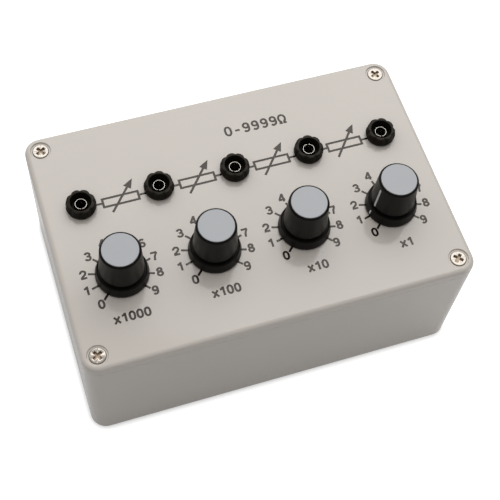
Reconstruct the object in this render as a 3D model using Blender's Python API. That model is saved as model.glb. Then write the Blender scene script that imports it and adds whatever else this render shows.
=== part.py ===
# Decade resistance box: a grey plastic case whose lid carries five 4 mm sockets and four knobs.
# Each knob turns a rotary switch that picks nought to nine resistors of its decade.
# Units are metres and +Z is up. The origin is the middle of the underside, X runs along the box.

import math

import bmesh
import bpy
from mathutils import Matrix, Vector

MM = 0.001
TURN = 2 * math.pi

# Fits that the whole box shares
FIT = 0.3 * MM                  # gap between two pieces that touch
OVERRUN = 1.0 * MM              # how far a cutter runs past what it cuts
RUNNING_FIT = 0.35 * MM         # gap where one piece turns past another

# Facets of round pieces, where a hidden wall has half the facets of a visible one
VISIBLE_SIDES = 24
HIDDEN_SIDES = 12
SMALL_SIDES = 6
SMOOTH_ANGLE = math.radians(35)

# Case
CASE_LENGTH = 150 * MM
CASE_DEPTH = 100 * MM
CASE_HEIGHT = 58 * MM
CASE_CORNER = 6.2 * MM          # corner radius in plan
CASE_WALL = 2.5 * MM
CASE_FLOOR = 3.0 * MM
FOOT_ROUND = 0.6 * MM           # rounding where the walls meet the underside
CORNER_STEPS = 5
ROUND_STEPS = 3

# Lid
LID_PLATE = 2.5 * MM            # thickness of the panel
LID_SIDE = 3.9 * MM             # how far the lid's rim comes down
LID_ROUND = 2.0 * MM            # rounding of the lid's top edge
LIP_THICKNESS = 1.2 * MM        # upstand of the base that enters the lid

# Lid screws and the pillars that take them
SCREW_INSET_X = 6.06 * MM       # from the end of the case to the screw's axis
SCREW_INSET_Y = 6.15 * MM
SCREW_HEAD_RADIUS = 3.05 * MM
SCREW_HEAD_HEIGHT = 1.6 * MM
SCREW_SHANK_RADIUS = 1.5 * MM
SCREW_LENGTH = 16 * MM
SCREW_SUNK = 0.3 * MM           # the head's top below the panel
SCREW_POINT = 1.6 * MM          # length of the tapered tip
SCREW_WELL_MARGIN = 0.7 * MM    # room round the head in its recess
PILLAR_WALL = 2.6 * MM          # plastic round the screw hole
PILLAR_DROP = 0.5 * MM          # pillar's top below the base's rim
PILLAR_HOLE_SPARE = 3.0 * MM    # hole left below the screw's tip

# Card guides moulded inside the long walls
GUIDE_PAIRS = 4
GUIDE_END_MARGIN = 36 * MM      # from the end of the case to the first pair
GUIDE_SLOT = 1.8 * MM
GUIDE_THICKNESS = 1.2 * MM
GUIDE_DEPTH = 1.6 * MM
GUIDE_TOP_GAP = 9 * MM          # guides end this far below the base's rim

# Sockets
SOCKET_COUNT = 5
SOCKET_END_MARGIN = 15 * MM     # from the end of the case to the first socket's axis
SOCKET_ROW = 15.5 * MM          # the row's distance behind the middle of the case
SOCKET_BASE_RADIUS = 5.66 * MM
SOCKET_TOP_RADIUS = 5.2 * MM
SOCKET_HEIGHT = 4.2 * MM        # head's top above the panel
SOCKET_BASE_EDGE = 0.5 * MM     # upright edge at the foot of the head
SOCKET_TOP_EDGE = 0.4 * MM      # rounding of the head's rim
SOCKET_LOBES = 8
LOBE_POINTS = 3
SOCKET_FLUTE = 0.55 * MM        # depth of the flutes at the rim
SOCKET_MOUTH_RADIUS = 3.7 * MM
SOCKET_MOUTH_BEVEL = 0.35 * MM
SOCKET_MOUTH_FLOOR = 0.6 * MM   # floor of the mouth above the panel
SOCKET_SHANK_RADIUS = 3.85 * MM
SOCKET_SHANK_LENGTH = 13 * MM   # below the panel's face
SOCKET_TURNS = (11, 28, 4, 35, 20)   # degrees each head was turned when it was tightened

# Socket contacts, split tubes with a solder tail
CONTACT_BORE_RADIUS = 2.0 * MM
CONTACT_RADIUS = 2.45 * MM
CONTACT_TOP = 1.8 * MM          # rim of the tube above the panel
CONTACT_TUBE_LENGTH = 17 * MM
CONTACT_SLIT = 28               # degrees that the slit takes out of the tube
CONTACT_SLIT_AT = 250           # where the slit is, in degrees
CONTACT_STEPS = 10
TAIL_WIDTH = 3.2 * MM
TAIL_THICKNESS = 0.8 * MM
TAIL_LENGTH = 5.0 * MM
TAIL_LAP = 2.0 * MM             # how far the tail runs up the tube
SOCKET_NUT_FLATS = 11 * MM
SOCKET_NUT_HEIGHT = 2.5 * MM

# Rotary switches
SWITCH_COUNT = 4
SWITCH_END_MARGIN = 22.5 * MM   # from the end of the case to the first knob's axis
SWITCH_ROW = -15.5 * MM
WAYS = 12
DECADE_STEPS = 9                # resistors of a decade, so ten of the ways are used
WAY_STEP = 30                   # degrees between ways
FIRST_WAY = 225                 # the direction of figure 0 from the knob's axis, in degrees
REST_FIGURES = (5, 5, 5, 1)     # where the four knobs stand
SPINDLE_RADIUS = 3.0 * MM
SPINDLE_TIP = 15 * MM           # top of the spindle above the panel
SPINDLE_BEVEL = 0.4 * MM
BUSH_RADIUS = 4.7 * MM
BUSH_TOP = 3.6 * MM
HOUSING_RADIUS = 13 * MM
HOUSING_WALL = 1.3 * MM
HOUSING_TOP = 1.3 * MM          # thickness of the housing's top
HOUSING_DEPTH = 11.6 * MM
HOUSING_BEVEL = 0.4 * MM
STOP_RADIUS = 7.3 * MM          # where the housing's stops and the rotor's lug meet
STOP_SIZE = 1.5 * MM
STOP_DROP = 2.6 * MM            # how far the stops hang from the housing's top
LUG_HEIGHT = 1.9 * MM
LUG_WIDTH = 1.6 * MM
HUB_RADIUS = 4.8 * MM
HUB_HEIGHT = 2.7 * MM
STAR_RADIUS = 8.3 * MM
STAR_NOTCH = 0.7 * MM
STAR_THICKNESS = 2.3 * MM
BOSS_RADIUS = 4.0 * MM
WIPER_THICKNESS = 0.4 * MM
WIPER_WIDTH = 3.0 * MM
WIPER_TAIL = 3.5 * MM           # how far the wiper reaches behind the axis
WIPER_TOE = 1.6 * MM            # length of the bent tip that rubs on the ways
WIPER_TOE_DROP = 0.9 * MM
LEAF_ANGLE = 105                # where the detent's leaf spring presses, in degrees
LEAF_HALF_ANGLE = 28            # degrees from its nose to each foot
LEAF_THICKNESS = 0.4 * MM
LEAF_WIDTH = 1.9 * MM
LEAF_SEAT = 0.5 * MM            # how far its feet sit in the housing's wall
WAFER_THICKNESS = 1.6 * MM
WAFER_MARGIN = 0.4 * MM         # wafer's edge inside the housing's
WAY_RADIUS = 10.5 * MM          # circle of the solder tags
TAG_WIDTH = 1.6 * MM
TAG_THICKNESS = 0.5 * MM
TAG_LENGTH = 5.2 * MM
POLE_TAG_RADIUS = 3.0 * MM
SWITCH_NUT_FLATS = 12.7 * MM
SWITCH_NUT_HEIGHT = 2.2 * MM

# Resistors, each across two neighbouring tags
RESISTOR_LENGTH = 3.1 * MM
RESISTOR_RADIUS = 0.9 * MM
RESISTOR_SHOULDER = 0.25 * MM
RESISTOR_LEAD_RADIUS = 0.25 * MM
RESISTOR_DROP = 3.2 * MM        # axis of the resistor below the tag's top
RESISTOR_SIDES = 5
SOLDER_LAP = 0.1 * MM           # how far a lead or a wire runs into its tag

# Hook-up wire from the sockets to the switches
WIRE_RADIUS = 0.6 * MM
WIRE_DIP = 13 * MM
WIRE_STEPS = 7
WIRE_WELD = 0.005 * MM          # joins the double points of its end faces

# Knob skirt, which covers the switch's nut
SKIRT_RADIUS = 9.9 * MM
SKIRT_CLEARANCE = 0.4 * MM      # under the skirt
SKIRT_EDGE = 0.8 * MM           # upright edge
SKIRT_TOP = 4.5 * MM
SKIRT_SHOULDER_DROP = 0.4 * MM
SKIRT_TAPER = 1.0 * MM          # how much narrower the skirt is at its shoulder
SKIRT_SHOULDER = 0.4 * MM
SKIRT_WALL = 1.0 * MM
SKIRT_ROOF = 0.9 * MM
SKIRT_HOLE_RADIUS = 5.2 * MM

# Knob body, cap and collet
KNOB_TOP = 18.8 * MM            # above the panel
KNOB_FOOT_RADIUS = 8.35 * MM
KNOB_HEAD_RADIUS = 7.38 * MM
KNOB_FOOT_BEVEL = 0.5 * MM
KNOB_RIM_BEVEL = 0.3 * MM
KNOB_RIM_DROP = 0.6 * MM
CAP_RADIUS = 6.65 * MM
CAP_THICKNESS = 1.3 * MM
CAP_BEVEL = 0.25 * MM
CAP_PLUG_LENGTH = 1.4 * MM
COLLET_WALL = 0.6 * MM
COLLET_CONE_RADIUS = 5.0 * MM
COLLET_CONE_HEIGHT = 1.8 * MM
COLLET_TOP = 15.6 * MM
COLLET_NUT_FLATS = 10 * MM
COLLET_NUT_HEIGHT = 2.0 * MM
COLLET_NUT_TOP = 15.3 * MM

# Worked out from the sizes above, heights measured from the panel's face
LID_UNDERSIDE = -LID_PLATE
RIM_BOTTOM = -LID_SIDE
CASE_BOTTOM = -CASE_HEIGHT
SCREW_X = CASE_LENGTH / 2 - SCREW_INSET_X
SCREW_Y = CASE_DEPTH / 2 - SCREW_INSET_Y
SCREW_WELL_RADIUS = SCREW_HEAD_RADIUS + SCREW_WELL_MARGIN
SCREW_WELL_FLOOR = -SCREW_SUNK - SCREW_HEAD_HEIGHT - FIT
SCREW_HOLE_RADIUS = SCREW_SHANK_RADIUS + FIT
LID_BOSS_RADIUS = SCREW_WELL_RADIUS + LIP_THICKNESS
PILLAR_RADIUS = SCREW_HOLE_RADIUS + PILLAR_WALL
BASE_RIM = RIM_BOTTOM - FIT
HOUSING_FACE = LID_UNDERSIDE - FIT
HOUSING_CEILING = HOUSING_FACE - HOUSING_TOP
HOUSING_FOOT = HOUSING_FACE - HOUSING_DEPTH
HUB_TOP = HOUSING_CEILING - FIT
STAR_TOP = HUB_TOP - HUB_HEIGHT
STAR_BOTTOM = STAR_TOP - STAR_THICKNESS
WAFER_TOP = HOUSING_FOOT - FIT
WIPER_TOE_BOTTOM = WAFER_TOP + FIT
WIPER_BOTTOM = WIPER_TOE_BOTTOM + WIPER_TOE_DROP
TAG_TOP = WAFER_TOP - WAFER_THICKNESS - FIT
TAG_BOTTOM = TAG_TOP - TAG_LENGTH
CONTACT_TUBE_BOTTOM = CONTACT_TOP - CONTACT_TUBE_LENGTH
TAIL_BOTTOM = CONTACT_TUBE_BOTTOM - TAIL_LENGTH
KNOB_FOOT = SKIRT_TOP + FIT
COLLET_BORE_RADIUS = SPINDLE_RADIUS + FIT
COLLET_RADIUS = COLLET_BORE_RADIUS + COLLET_WALL
COLLET_NUT_BOTTOM = COLLET_NUT_TOP - COLLET_NUT_HEIGHT
CAP_SEAT = KNOB_TOP - CAP_THICKNESS - FIT
COLLET_NUT_RADIUS = COLLET_NUT_FLATS / 2 / math.cos(TURN / SMALL_SIDES / 2)
NUT_WELL_RADIUS = COLLET_NUT_RADIUS + FIT
SOCKET_PITCH = (CASE_LENGTH - 2 * SOCKET_END_MARGIN) / (SOCKET_COUNT - 1)
SWITCH_PITCH = (CASE_LENGTH - 2 * SWITCH_END_MARGIN) / (SWITCH_COUNT - 1)
GUIDE_PITCH = (CASE_LENGTH - 2 * GUIDE_END_MARGIN) / (GUIDE_PAIRS - 1)


def clear_scene():
    """Take out whatever the new file holds."""
    for item in list(bpy.data.objects):
        bpy.data.objects.remove(item, do_unlink=True)


def material(name, colour, roughness, metallic=0.0):
    """A plain finish: colour as an sRGB hex value."""
    finish = bpy.data.materials.new(name)
    finish.use_nodes = True
    shader = finish.node_tree.nodes["Principled BSDF"]
    channels = [int(colour[i:i + 2], 16) / 255 for i in (1, 3, 5)]
    linear = [c / 12.92 if c <= 0.04045 else ((c + 0.055) / 1.055) ** 2.4 for c in channels]
    shader.inputs["Base Color"].default_value = (*linear, 1.0)
    shader.inputs["Roughness"].default_value = roughness
    shader.inputs["Metallic"].default_value = metallic
    finish.diffuse_color = (*linear, 1.0)
    return finish


def circle(radius, z, sides):
    """A level ring of points about the Z axis."""
    return [Vector((radius * math.cos(TURN * i / sides), radius * math.sin(TURN * i / sides), z))
            for i in range(sides)]


def rounded_rectangle(length, depth, corner, z):
    """A level ring of points with a round at each corner."""
    points = []
    for quarter, (side_x, side_y) in enumerate(((1, 1), (-1, 1), (-1, -1), (1, -1))):
        centre = Vector((side_x * (length / 2 - corner), side_y * (depth / 2 - corner), z))
        for step in range(CORNER_STEPS + 1):
            angle = (quarter + step / CORNER_STEPS) * TURN / 4
            points.append(centre + corner * Vector((math.cos(angle), math.sin(angle), 0)))
    return points


def fluted_ring(radius, flute, z):
    """A level ring with broad lobes and narrow flutes."""
    points = []
    for i in range(SOCKET_LOBES * LOBE_POINTS):
        reach = radius - flute if i % LOBE_POINTS == 0 else radius
        angle = TURN * i / (SOCKET_LOBES * LOBE_POINTS)
        points.append(Vector((reach * math.cos(angle), reach * math.sin(angle), z)))
    return points


def star_ring(radius, notch, z):
    """A level ring with a notch for each way of the switch."""
    return [point * (1 - notch / radius if i % 2 == 0 else 1) + Vector((0, 0, z))
            for i, point in enumerate(circle(radius, 0, 2 * WAYS))]


def skin(name, rings, closed=False):
    """A solid from a run of rings; a closed run joins its last ring to its first."""
    shape = bmesh.new()
    loops = [[shape.verts.new(point) for point in ring] for ring in rings]
    pairs = list(zip(loops, loops[1:]))
    if closed:
        pairs.append((loops[-1], loops[0]))
    else:
        shape.faces.new(reversed(loops[0]))
        shape.faces.new(loops[-1])
    for near, far in pairs:
        join_rings(shape, near, far)
    return finished_mesh(name, shape)


def join_rings(shape, near, far):
    """Faces between two rings, where one may have a whole number of times the other's points."""
    inward = len(near) < len(far)
    if inward:
        near, far = far, near
    step = len(near) // len(far)
    faces = []
    for i, start in enumerate(far):
        end = far[(i + 1) % len(far)]
        fine = [near[(i * step + k) % len(near)] for k in range(step + 1)]
        middle = (step + 1) // 2
        for k in range(step):
            tip = start if k < middle else end
            if k == middle - 1:
                faces.append(shape.faces.new((fine[k], fine[k + 1], end, start)))
            else:
                faces.append(shape.faces.new((fine[k], fine[k + 1], tip)))
    if inward:
        bmesh.ops.reverse_faces(shape, faces=faces)


def finished_mesh(name, shape):
    """Turn the faces outwards, shade the rounds smooth and hand back the mesh."""
    if shape.calc_volume(signed=True) < 0:
        bmesh.ops.reverse_faces(shape, faces=shape.faces)
    mesh = bpy.data.meshes.new(name)
    shape.to_mesh(mesh)
    shape.free()
    mesh.shade_smooth()
    mesh.set_sharp_from_angle(angle=SMOOTH_ANGLE)
    return mesh


def turned(name, profile, closed=False):
    """A round solid from (radius, height, sides) steps."""
    return skin(name, [circle(*step) for step in profile], closed)


def clear_radius(radius, sides=HIDDEN_SIDES):
    """The corner radius of a faceted hole whose flats keep the fit round a piece of this radius."""
    return (radius + FIT) / math.cos(TURN / sides / 2)


def rod(radius, bottom, top, sides, x=0.0, y=0.0):
    """A plain upright cylinder, for cuts and joins."""
    shape = bmesh.new()
    middle = Matrix.Translation((x, y, (bottom + top) / 2))
    bmesh.ops.create_cone(shape, cap_ends=True, segments=sides, radius1=radius, radius2=radius,
                          depth=top - bottom, matrix=middle)
    return finished_mesh("rod", shape)


def block(low, high):
    """A box between two corners."""
    low, high = Vector(low), Vector(high)
    shape = bmesh.new()
    place = Matrix.Translation((low + high) / 2) @ Matrix.Diagonal((*(high - low), 1))
    bmesh.ops.create_cube(shape, size=1, matrix=place)
    return finished_mesh("block", shape)


def prism(name, outline, direction):
    """A flat outline pushed along a direction."""
    shape = bmesh.new()
    face = shape.faces.new([shape.verts.new(point) for point in outline])
    pushed = bmesh.ops.extrude_face_region(shape, geom=[face])
    moved = [item for item in pushed["geom"] if isinstance(item, bmesh.types.BMVert)]
    bmesh.ops.translate(shape, verts=moved, vec=direction)
    bmesh.ops.recalc_face_normals(shape, faces=shape.faces)
    return finished_mesh(name, shape)


def nut(name, flats, bore, bottom, height):
    """A hexagon nut with a plain bore."""
    corner = flats / 2 / math.cos(TURN / SMALL_SIDES / 2)
    top = bottom + height
    return turned(name, [(corner, bottom, SMALL_SIDES), (corner, top, SMALL_SIDES),
                         (bore, top, HIDDEN_SIDES), (bore, bottom, HIDDEN_SIDES)], closed=True)


def carve(mesh, operation, *tools):
    """Join tools to a mesh or cut them from it, and hand back the new mesh."""
    body = bpy.data.objects.new("carved", mesh)
    bpy.context.collection.objects.link(body)
    helpers = []
    for tool in tools:
        helper = bpy.data.objects.new("tool", tool)
        helper.hide_render = True
        helper.display_type = "WIRE"
        bpy.context.collection.objects.link(helper)
        step = body.modifiers.new(operation, "BOOLEAN")
        step.operation = operation
        step.solver = "EXACT"
        step.object = helper
        helpers.append(helper)
    bpy.context.view_layer.update()
    graph = bpy.context.evaluated_depsgraph_get()
    result = bpy.data.meshes.new_from_object(body.evaluated_get(graph), depsgraph=graph)
    result.name = mesh.name
    for item in helpers + [body]:
        bpy.data.objects.remove(item, do_unlink=True)
    result.shade_smooth()
    result.set_sharp_from_angle(angle=SMOOTH_ANGLE)
    return result


def axis(name, location, parent=None):
    """An empty that carries the pieces round one axis."""
    empty = bpy.data.objects.new(name, None)
    empty.location = location
    empty.parent = parent
    bpy.context.collection.objects.link(empty)
    return empty


def add(name, mesh, finish, parent, turn=0.0):
    """Put a piece on the axis that carries it, turned by some degrees."""
    piece = bpy.data.objects.new(name, mesh)
    piece.rotation_euler.z = math.radians(turn)
    piece.parent = parent
    if not mesh.materials:
        mesh.materials.append(finish)
    bpy.context.collection.objects.link(piece)
    return piece


def row_places(count, pitch, row):
    """Points of a row that runs along X, centred on the case."""
    return [Vector(((i - (count - 1) / 2) * pitch, row, 0)) for i in range(count)]


def spoke(degrees, radius, z=0.0):
    """The point at an angle and a distance from the axis."""
    angle = math.radians(degrees)
    return Vector((radius * math.cos(angle), radius * math.sin(angle), z))


def screw_places():
    """The four lid screws' axes, in the panel's plane."""
    return [Vector((x, y, 0)) for x in (-SCREW_X, SCREW_X) for y in (-SCREW_Y, SCREW_Y)]


def lid_mesh():
    """A shallow lid with a rounded top edge, screw wells, and holes for sockets and switches."""
    inner_length, inner_depth = CASE_LENGTH - 2 * CASE_WALL, CASE_DEPTH - 2 * CASE_WALL
    inner_corner = CASE_CORNER - CASE_WALL
    rings = [rounded_rectangle(inner_length, inner_depth, inner_corner, LID_UNDERSIDE),
             rounded_rectangle(inner_length, inner_depth, inner_corner, RIM_BOTTOM),
             rounded_rectangle(CASE_LENGTH, CASE_DEPTH, CASE_CORNER, RIM_BOTTOM)]
    for step in range(ROUND_STEPS + 1):
        angle = step / ROUND_STEPS * TURN / 4
        inset = LID_ROUND * (1 - math.cos(angle))
        height = -LID_ROUND * (1 - math.sin(angle))
        rings.append(rounded_rectangle(CASE_LENGTH - 2 * inset, CASE_DEPTH - 2 * inset,
                                       CASE_CORNER - inset, height))
    shell = skin("lid", rings)
    bosses = [rod(LID_BOSS_RADIUS, RIM_BOTTOM, LID_UNDERSIDE + LID_PLATE / 2, HIDDEN_SIDES, p.x, p.y)
              for p in screw_places()]
    wells = [rod(SCREW_WELL_RADIUS, SCREW_WELL_FLOOR, OVERRUN, VISIBLE_SIDES, p.x, p.y)
             for p in screw_places()]
    holes = [rod(SCREW_HOLE_RADIUS, RIM_BOTTOM - OVERRUN, OVERRUN, HIDDEN_SIDES, p.x, p.y)
             for p in screw_places()]
    for radius, places in ((SOCKET_SHANK_RADIUS, row_places(SOCKET_COUNT, SOCKET_PITCH, SOCKET_ROW)),
                           (BUSH_RADIUS, row_places(SWITCH_COUNT, SWITCH_PITCH, SWITCH_ROW))):
        holes += [rod(clear_radius(radius), LID_UNDERSIDE - OVERRUN, OVERRUN, HIDDEN_SIDES, p.x, p.y)
                  for p in places]
    return carve(carve(shell, "UNION", *bosses), "DIFFERENCE", *wells, *holes)


def guide_ribs():
    """Pairs of upright ribs inside the long walls, a card's thickness apart."""
    ribs = []
    inside = CASE_DEPTH / 2 - CASE_WALL
    low = CASE_BOTTOM + CASE_FLOOR / 2
    high = BASE_RIM - GUIDE_TOP_GAP
    offset = (GUIDE_SLOT + GUIDE_THICKNESS) / 2
    for place in row_places(GUIDE_PAIRS, GUIDE_PITCH, 0):
        for wall in (-1, 1):
            near, far = wall * (inside - GUIDE_DEPTH), wall * (inside + CASE_WALL / 2)
            for rib in (place.x - offset, place.x + offset):
                ribs.append(block((rib - GUIDE_THICKNESS / 2, min(near, far), low),
                                  (rib + GUIDE_THICKNESS / 2, max(near, far), high)))
    return ribs


def lip_rails():
    """Upstands along the four sides, between the corners, that enter the lid."""
    inner = CASE_WALL + FIT + LIP_THICKNESS
    section = [(CASE_WALL / 2, BASE_RIM - 2 * LIP_THICKNESS), (inner, BASE_RIM - 2 * LIP_THICKNESS),
               (inner, LID_UNDERSIDE - FIT), (CASE_WALL + FIT, LID_UNDERSIDE - FIT),
               (CASE_WALL + FIT, BASE_RIM - LIP_THICKNESS / 2), (CASE_WALL / 2, BASE_RIM - LIP_THICKNESS / 2)]
    corner_x = SCREW_INSET_X + LID_BOSS_RADIUS + FIT
    corner_y = SCREW_INSET_Y + LID_BOSS_RADIUS + FIT
    rails = []
    for side in (-1, 1):
        along_x = [(corner_x - CASE_LENGTH / 2, side * (CASE_DEPTH / 2 - inset), z) for inset, z in section]
        rails.append(prism("rail", along_x, Vector((CASE_LENGTH - 2 * corner_x, 0, 0))))
        along_y = [(side * (CASE_LENGTH / 2 - inset), corner_y - CASE_DEPTH / 2, z) for inset, z in section]
        rails.append(prism("rail", along_y, Vector((0, CASE_DEPTH - 2 * corner_y, 0))))
    return rails


def base_mesh():
    """A deep open box with a lip that enters the lid, screw pillars and card guides."""
    def level(inset, z):
        return rounded_rectangle(CASE_LENGTH - 2 * inset, CASE_DEPTH - 2 * inset,
                                 CASE_CORNER - inset, z)
    shell = skin("enclosure_base", [
        level(FOOT_ROUND, CASE_BOTTOM), level(0, CASE_BOTTOM + FOOT_ROUND), level(0, BASE_RIM),
        level(CASE_WALL, BASE_RIM), level(CASE_WALL, CASE_BOTTOM + CASE_FLOOR)])
    pillar_top = BASE_RIM - PILLAR_DROP
    hole_bottom = -SCREW_SUNK - SCREW_LENGTH - PILLAR_HOLE_SPARE
    pillars, holes = [], []
    for p in screw_places():
        pillars.append(rod(PILLAR_RADIUS, CASE_BOTTOM + CASE_FLOOR / 2, pillar_top, HIDDEN_SIDES, p.x, p.y))
        holes.append(rod(SCREW_HOLE_RADIUS, hole_bottom, BASE_RIM + OVERRUN, HIDDEN_SIDES, p.x, p.y))
    return carve(carve(shell, "UNION", *pillars, *guide_ribs(), *lip_rails()), "DIFFERENCE", *holes)


def screw_mesh():
    """A flat-topped screw with a plain shank and a tapered tip."""
    head_top, head_bottom = -SCREW_SUNK, -SCREW_SUNK - SCREW_HEAD_HEIGHT
    edge = SCREW_HEAD_HEIGHT / 3
    tip = -SCREW_SUNK - SCREW_LENGTH
    return turned("screw", [(SCREW_HEAD_RADIUS - edge, head_top, HIDDEN_SIDES),
                            (SCREW_HEAD_RADIUS, head_top - edge, HIDDEN_SIDES),
                            (SCREW_HEAD_RADIUS, head_bottom, HIDDEN_SIDES),
                            (SCREW_SHANK_RADIUS, head_bottom, SMALL_SIDES),
                            (SCREW_SHANK_RADIUS, tip + SCREW_POINT, SMALL_SIDES),
                            (SCREW_SHANK_RADIUS / 3, tip, SMALL_SIDES)])


def socket_mesh():
    """A moulded head whose flutes fade into a round foot, on a hollow shank."""
    bottom = -SOCKET_SHANK_LENGTH
    bore = clear_radius(CONTACT_RADIUS)
    foot = FIT
    rings = [circle(SOCKET_SHANK_RADIUS, bottom, HIDDEN_SIDES),
             circle(SOCKET_SHANK_RADIUS, foot, HIDDEN_SIDES),
             circle(SOCKET_BASE_RADIUS, foot, VISIBLE_SIDES),
             circle(SOCKET_BASE_RADIUS, foot + SOCKET_BASE_EDGE, VISIBLE_SIDES),
             fluted_ring(SOCKET_TOP_RADIUS, SOCKET_FLUTE, SOCKET_HEIGHT - SOCKET_TOP_EDGE),
             fluted_ring(SOCKET_TOP_RADIUS - SOCKET_TOP_EDGE, SOCKET_FLUTE / 2, SOCKET_HEIGHT),
             circle(SOCKET_MOUTH_RADIUS + SOCKET_MOUTH_BEVEL, SOCKET_HEIGHT, HIDDEN_SIDES),
             circle(SOCKET_MOUTH_RADIUS, SOCKET_HEIGHT - SOCKET_MOUTH_BEVEL, HIDDEN_SIDES),
             circle(SOCKET_MOUTH_RADIUS, SOCKET_MOUTH_FLOOR, HIDDEN_SIDES),
             circle(bore, SOCKET_MOUTH_FLOOR, HIDDEN_SIDES),
             circle(bore, bottom, HIDDEN_SIDES)]
    return skin("socket_body", rings, closed=True)


def contact_mesh():
    """A split tube that grips a 4 mm plug, with a flat solder tail."""
    first = CONTACT_SLIT_AT + CONTACT_SLIT / 2
    sweep = 360 - CONTACT_SLIT
    angles = [first + sweep * i / CONTACT_STEPS for i in range(CONTACT_STEPS + 1)]
    outline = [spoke(a, CONTACT_RADIUS, CONTACT_TUBE_BOTTOM) for a in angles]
    outline += [spoke(a, CONTACT_BORE_RADIUS, CONTACT_TUBE_BOTTOM) for a in reversed(angles)]
    tube = prism("socket_contact", outline, Vector((0, 0, CONTACT_TUBE_LENGTH)))
    back = CONTACT_RADIUS - (CONTACT_RADIUS - CONTACT_BORE_RADIUS) / 4
    tail = block((-TAIL_WIDTH / 2, back - TAIL_THICKNESS, TAIL_BOTTOM),
                 (TAIL_WIDTH / 2, back, CONTACT_TUBE_BOTTOM + TAIL_LAP))
    return carve(tube, "UNION", tail)


def way_angle(way):
    """The direction of a way of the switch, in degrees; ways run clockwise seen from above."""
    return FIRST_WAY - WAY_STEP * way


def stop_angle(way):
    """The direction halfway between a way and the next."""
    return way_angle(way) - WAY_STEP / 2


def housing_mesh():
    """A switch housing, open below, with its bush, two stops and the detent's leaf spring."""
    bore = SPINDLE_RADIUS + RUNNING_FIT
    inside = HOUSING_RADIUS - HOUSING_WALL
    body = turned("switch_housing", [
        (bore, BUSH_TOP, HIDDEN_SIDES), (BUSH_RADIUS, BUSH_TOP, HIDDEN_SIDES),
        (BUSH_RADIUS, HOUSING_FACE, HIDDEN_SIDES),
        (HOUSING_RADIUS - HOUSING_BEVEL, HOUSING_FACE, HIDDEN_SIDES),
        (HOUSING_RADIUS, HOUSING_FACE - HOUSING_BEVEL, HIDDEN_SIDES),
        (HOUSING_RADIUS, HOUSING_FOOT, HIDDEN_SIDES), (inside, HOUSING_FOOT, HIDDEN_SIDES),
        (inside, HOUSING_CEILING, HIDDEN_SIDES), (bore, HOUSING_CEILING, HIDDEN_SIDES)], closed=True)
    half = STOP_SIZE / 2
    stops = []
    for way in (DECADE_STEPS, WAYS - 1):
        stop = block((STOP_RADIUS - half, -half, HOUSING_CEILING - STOP_DROP),
                     (STOP_RADIUS + half, half, HOUSING_CEILING + HOUSING_TOP / 2))
        stop.transform(Matrix.Rotation(math.radians(stop_angle(way)), 4, "Z"))
        stops.append(stop)
    return carve(body, "UNION", leaf_mesh(), *stops)


def rotor_mesh():
    """The spindle with its hub, lug, notched wheel and the wiper riveted below."""
    rings = [circle(SPINDLE_RADIUS - SPINDLE_BEVEL, SPINDLE_TIP, HIDDEN_SIDES),
             circle(SPINDLE_RADIUS, SPINDLE_TIP - SPINDLE_BEVEL, HIDDEN_SIDES),
             circle(SPINDLE_RADIUS, HUB_TOP, HIDDEN_SIDES),
             circle(HUB_RADIUS, HUB_TOP, HIDDEN_SIDES),
             circle(HUB_RADIUS, STAR_TOP, HIDDEN_SIDES),
             star_ring(STAR_RADIUS, STAR_NOTCH, STAR_TOP),
             star_ring(STAR_RADIUS, STAR_NOTCH, STAR_BOTTOM),
             circle(BOSS_RADIUS, STAR_BOTTOM, HIDDEN_SIDES),
             circle(BOSS_RADIUS, WIPER_BOTTOM + WIPER_THICKNESS / 2, HIDDEN_SIDES)]
    half = LUG_WIDTH / 2
    lug = block((HUB_RADIUS - half, -half, STAR_TOP - STAR_THICKNESS / 2),
                (STOP_RADIUS, half, STAR_TOP + LUG_HEIGHT))
    return carve(skin("switch_rotor", rings), "UNION", lug, wiper_mesh())


def wiper_mesh():
    """A springy contact arm whose toe rubs on the ways."""
    top = WIPER_BOTTOM + WIPER_THICKNESS
    toe = WAY_RADIUS
    bend = toe - WIPER_TOE
    side = -WIPER_WIDTH / 2
    outline = [(-WIPER_TAIL, side, WIPER_BOTTOM), (bend, side, WIPER_BOTTOM),
               (toe - WIPER_THICKNESS, side, WIPER_TOE_BOTTOM), (toe, side, WIPER_TOE_BOTTOM),
               (bend + WIPER_THICKNESS, side, top), (-WIPER_TAIL, side, top)]
    return prism("wiper", outline, Vector((0, WIPER_WIDTH, 0)))


def leaf_mesh():
    """The detent's leaf spring, its nose at the notched wheel and its feet in the housing's wall."""
    nose = STAR_RADIUS + RUNNING_FIT
    foot = HOUSING_RADIUS - HOUSING_WALL + LEAF_SEAT
    bottom = (STAR_TOP + STAR_BOTTOM - LEAF_WIDTH) / 2
    front = [(-LEAF_HALF_ANGLE, foot - LEAF_THICKNESS), (0, nose), (LEAF_HALF_ANGLE, foot - LEAF_THICKNESS)]
    back = [(angle, reach + LEAF_THICKNESS) for angle, reach in reversed(front)]
    outline = [spoke(LEAF_ANGLE + angle, reach, bottom) for angle, reach in front + back]
    return prism("leaf", outline, Vector((0, 0, LEAF_WIDTH)))


def tag(radius, degrees, lap):
    """One solder tag, edge on to its circle, which runs a little into what carries it."""
    strip = block((radius - TAG_WIDTH / 2, -TAG_THICKNESS / 2, TAG_BOTTOM),
                  (radius + TAG_WIDTH / 2, TAG_THICKNESS / 2, TAG_TOP + lap))
    strip.transform(Matrix.Rotation(math.radians(degrees), 4, "Z"))
    return strip


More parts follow.
